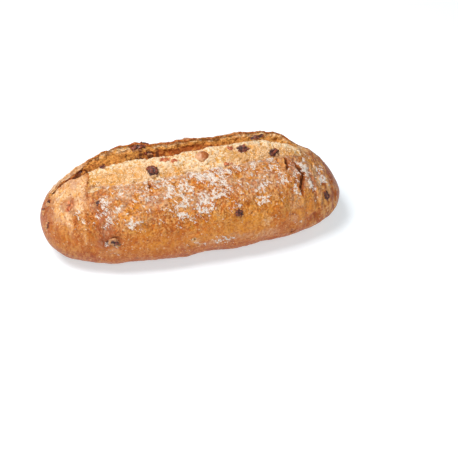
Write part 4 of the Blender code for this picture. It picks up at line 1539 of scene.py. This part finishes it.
def make_stage(settings):
    """Pale floor, soft light, and the camera of the picture."""
    data = bpy.data.meshes.new("floor")
    square = ((-1, -1), (1, -1), (1, 1), (-1, 1))
    corners = [(x * FLOOR_HALF, y * FLOOR_HALF, -FLOOR_GAP) for x, y in square]
    data.from_pydata(corners, [], [(0, 1, 2, 3)])
    data.materials.append(floor_finish(settings.floor))
    floor = bpy.data.objects.new("floor", data)
    bpy.context.scene.collection.objects.link(floor)
    world = bpy.data.worlds.new("soft sky")
    world.use_nodes = True
    world.node_tree.nodes["Background"].inputs["Color"].default_value = (1.0, 1.0, 1.0, 1.0)
    world.node_tree.nodes["Background"].inputs["Strength"].default_value = settings.sky
    bpy.context.scene.world = world
    bpy.context.scene.view_settings.view_transform = "Standard"
    add_light("key", KEY_PLACE, (0.0, 0.0, 0.0), KEY_SIZE, settings.key)
    add_light("fill", FILL_PLACE, FILL_TARGET, FILL_SIZE, settings.fill)
    add_camera()


def pieces_named(*names):
    """The finished pieces of those names. It is an error if one of them isn't made yet."""
    missing = [name for name in names if name not in bpy.data.objects]
    if missing:
        raise RuntimeError(f"make {', '.join(missing)} first")
    return [bpy.data.objects[name] for name in names]


class BREAD_OT_loaf(bpy.types.Operator):
    """Make the loaf's skin, with its crust, crumb and cracks"""

    bl_idname = "bread.loaf"
    bl_label = "Loaf"

    def execute(self, context):
        make_loaf(context.scene.bread_crust, context.scene.bread_dust)
        return {"FINISHED"}


class BREAD_OT_raisins(bpy.types.Operator):
    """Make all the raisins"""

    bl_idname = "bread.raisins"
    bl_label = "Raisins"

    def execute(self, context):
        make_fruits("raisins", "raisin", context.scene.bread_fruit)
        return {"FINISHED"}


class BREAD_OT_dried_fruits(bpy.types.Operator):
    """Make the bits of dried fruit"""

    bl_idname = "bread.dried_fruits"
    bl_label = "Dried Fruit"

    def execute(self, context):
        make_fruits("dried_fruits", "dried_fruit", context.scene.bread_fruit)
        return {"FINISHED"}


class BREAD_OT_nut(bpy.types.Operator):
    """Make the nut"""

    bl_idname = "bread.nut"
    bl_label = "Nut"

    def execute(self, context):
        make_fruits("nuts", "nut", context.scene.bread_fruit)
        return {"FINISHED"}


class BREAD_OT_flour(bpy.types.Operator):
    """Scatter clumps of flour over the crust"""

    bl_idname = "bread.flour"
    bl_label = "Flour"

    def execute(self, context):
        dust, crust = context.scene.bread_dust, context.scene.bread_crust
        powder = powder_finish("flour", dust.flour, crust.pale)
        scatter("flour", dust.grains, dust.grain, powder)
        return {"FINISHED"}


class BREAD_OT_crumbs(bpy.types.Operator):
    """Scatter crumbs over the dough in the slash"""

    bl_idname = "bread.crumbs"
    bl_label = "Crumbs"

    def execute(self, context):
        dust, crust = context.scene.bread_dust, context.scene.bread_crust
        powder = powder_finish("crumbs", crust.cream, crust.honey)
        scatter("crumbs", dust.crumbs, dust.crumb, powder)
        return {"FINISHED"}


class BREAD_OT_stage(bpy.types.Operator):
    """Make the floor, the light and the camera"""

    bl_idname = "bread.stage"
    bl_label = "Stage"

    def execute(self, context):
        make_stage(context.scene.bread_stage)
        return {"FINISHED"}


OPERATORS = (
    BREAD_OT_loaf, BREAD_OT_raisins, BREAD_OT_dried_fruits, BREAD_OT_nut, BREAD_OT_flour,
    BREAD_OT_crumbs, BREAD_OT_stage,
)
GROUPS = {
    "bread_crust": BREAD_PG_crust, "bread_fruit": BREAD_PG_fruit,
    "bread_dust": BREAD_PG_dust, "bread_stage": BREAD_PG_stage,
}


class BREAD_PT_panel(bpy.types.Panel):
    """Sizes and colours of the fruit bread, and the steps that make it"""

    bl_label = "Fruit Bread"
    bl_space_type = "VIEW_3D"
    bl_region_type = "UI"
    bl_category = "Bread"

    def draw(self, context):
        for name, group in GROUPS.items():
            box = self.layout.box()
            for field in group.__annotations__:
                box.prop(getattr(context.scene, name), field)
        for operator in OPERATORS:
            self.layout.operator(operator.bl_idname)


def register():
    for each in (*GROUPS.values(), *OPERATORS, BREAD_PT_panel):
        bpy.utils.register_class(each)
    for name, group in GROUPS.items():
        setattr(bpy.types.Scene, name, bpy.props.PointerProperty(type=group))


def unregister():
    for name in GROUPS:
        delattr(bpy.types.Scene, name)
    for each in (BREAD_PT_panel, *reversed(OPERATORS), *reversed(GROUPS.values())):
        bpy.utils.unregister_class(each)


def main():
    register()
    bpy.ops.bread.loaf()
    bpy.ops.bread.raisins()
    bpy.ops.bread.dried_fruits()
    bpy.ops.bread.nut()
    bpy.ops.bread.flour()
    bpy.ops.bread.crumbs()
    bpy.ops.bread.stage()


if __name__ == "__main__":
    main()
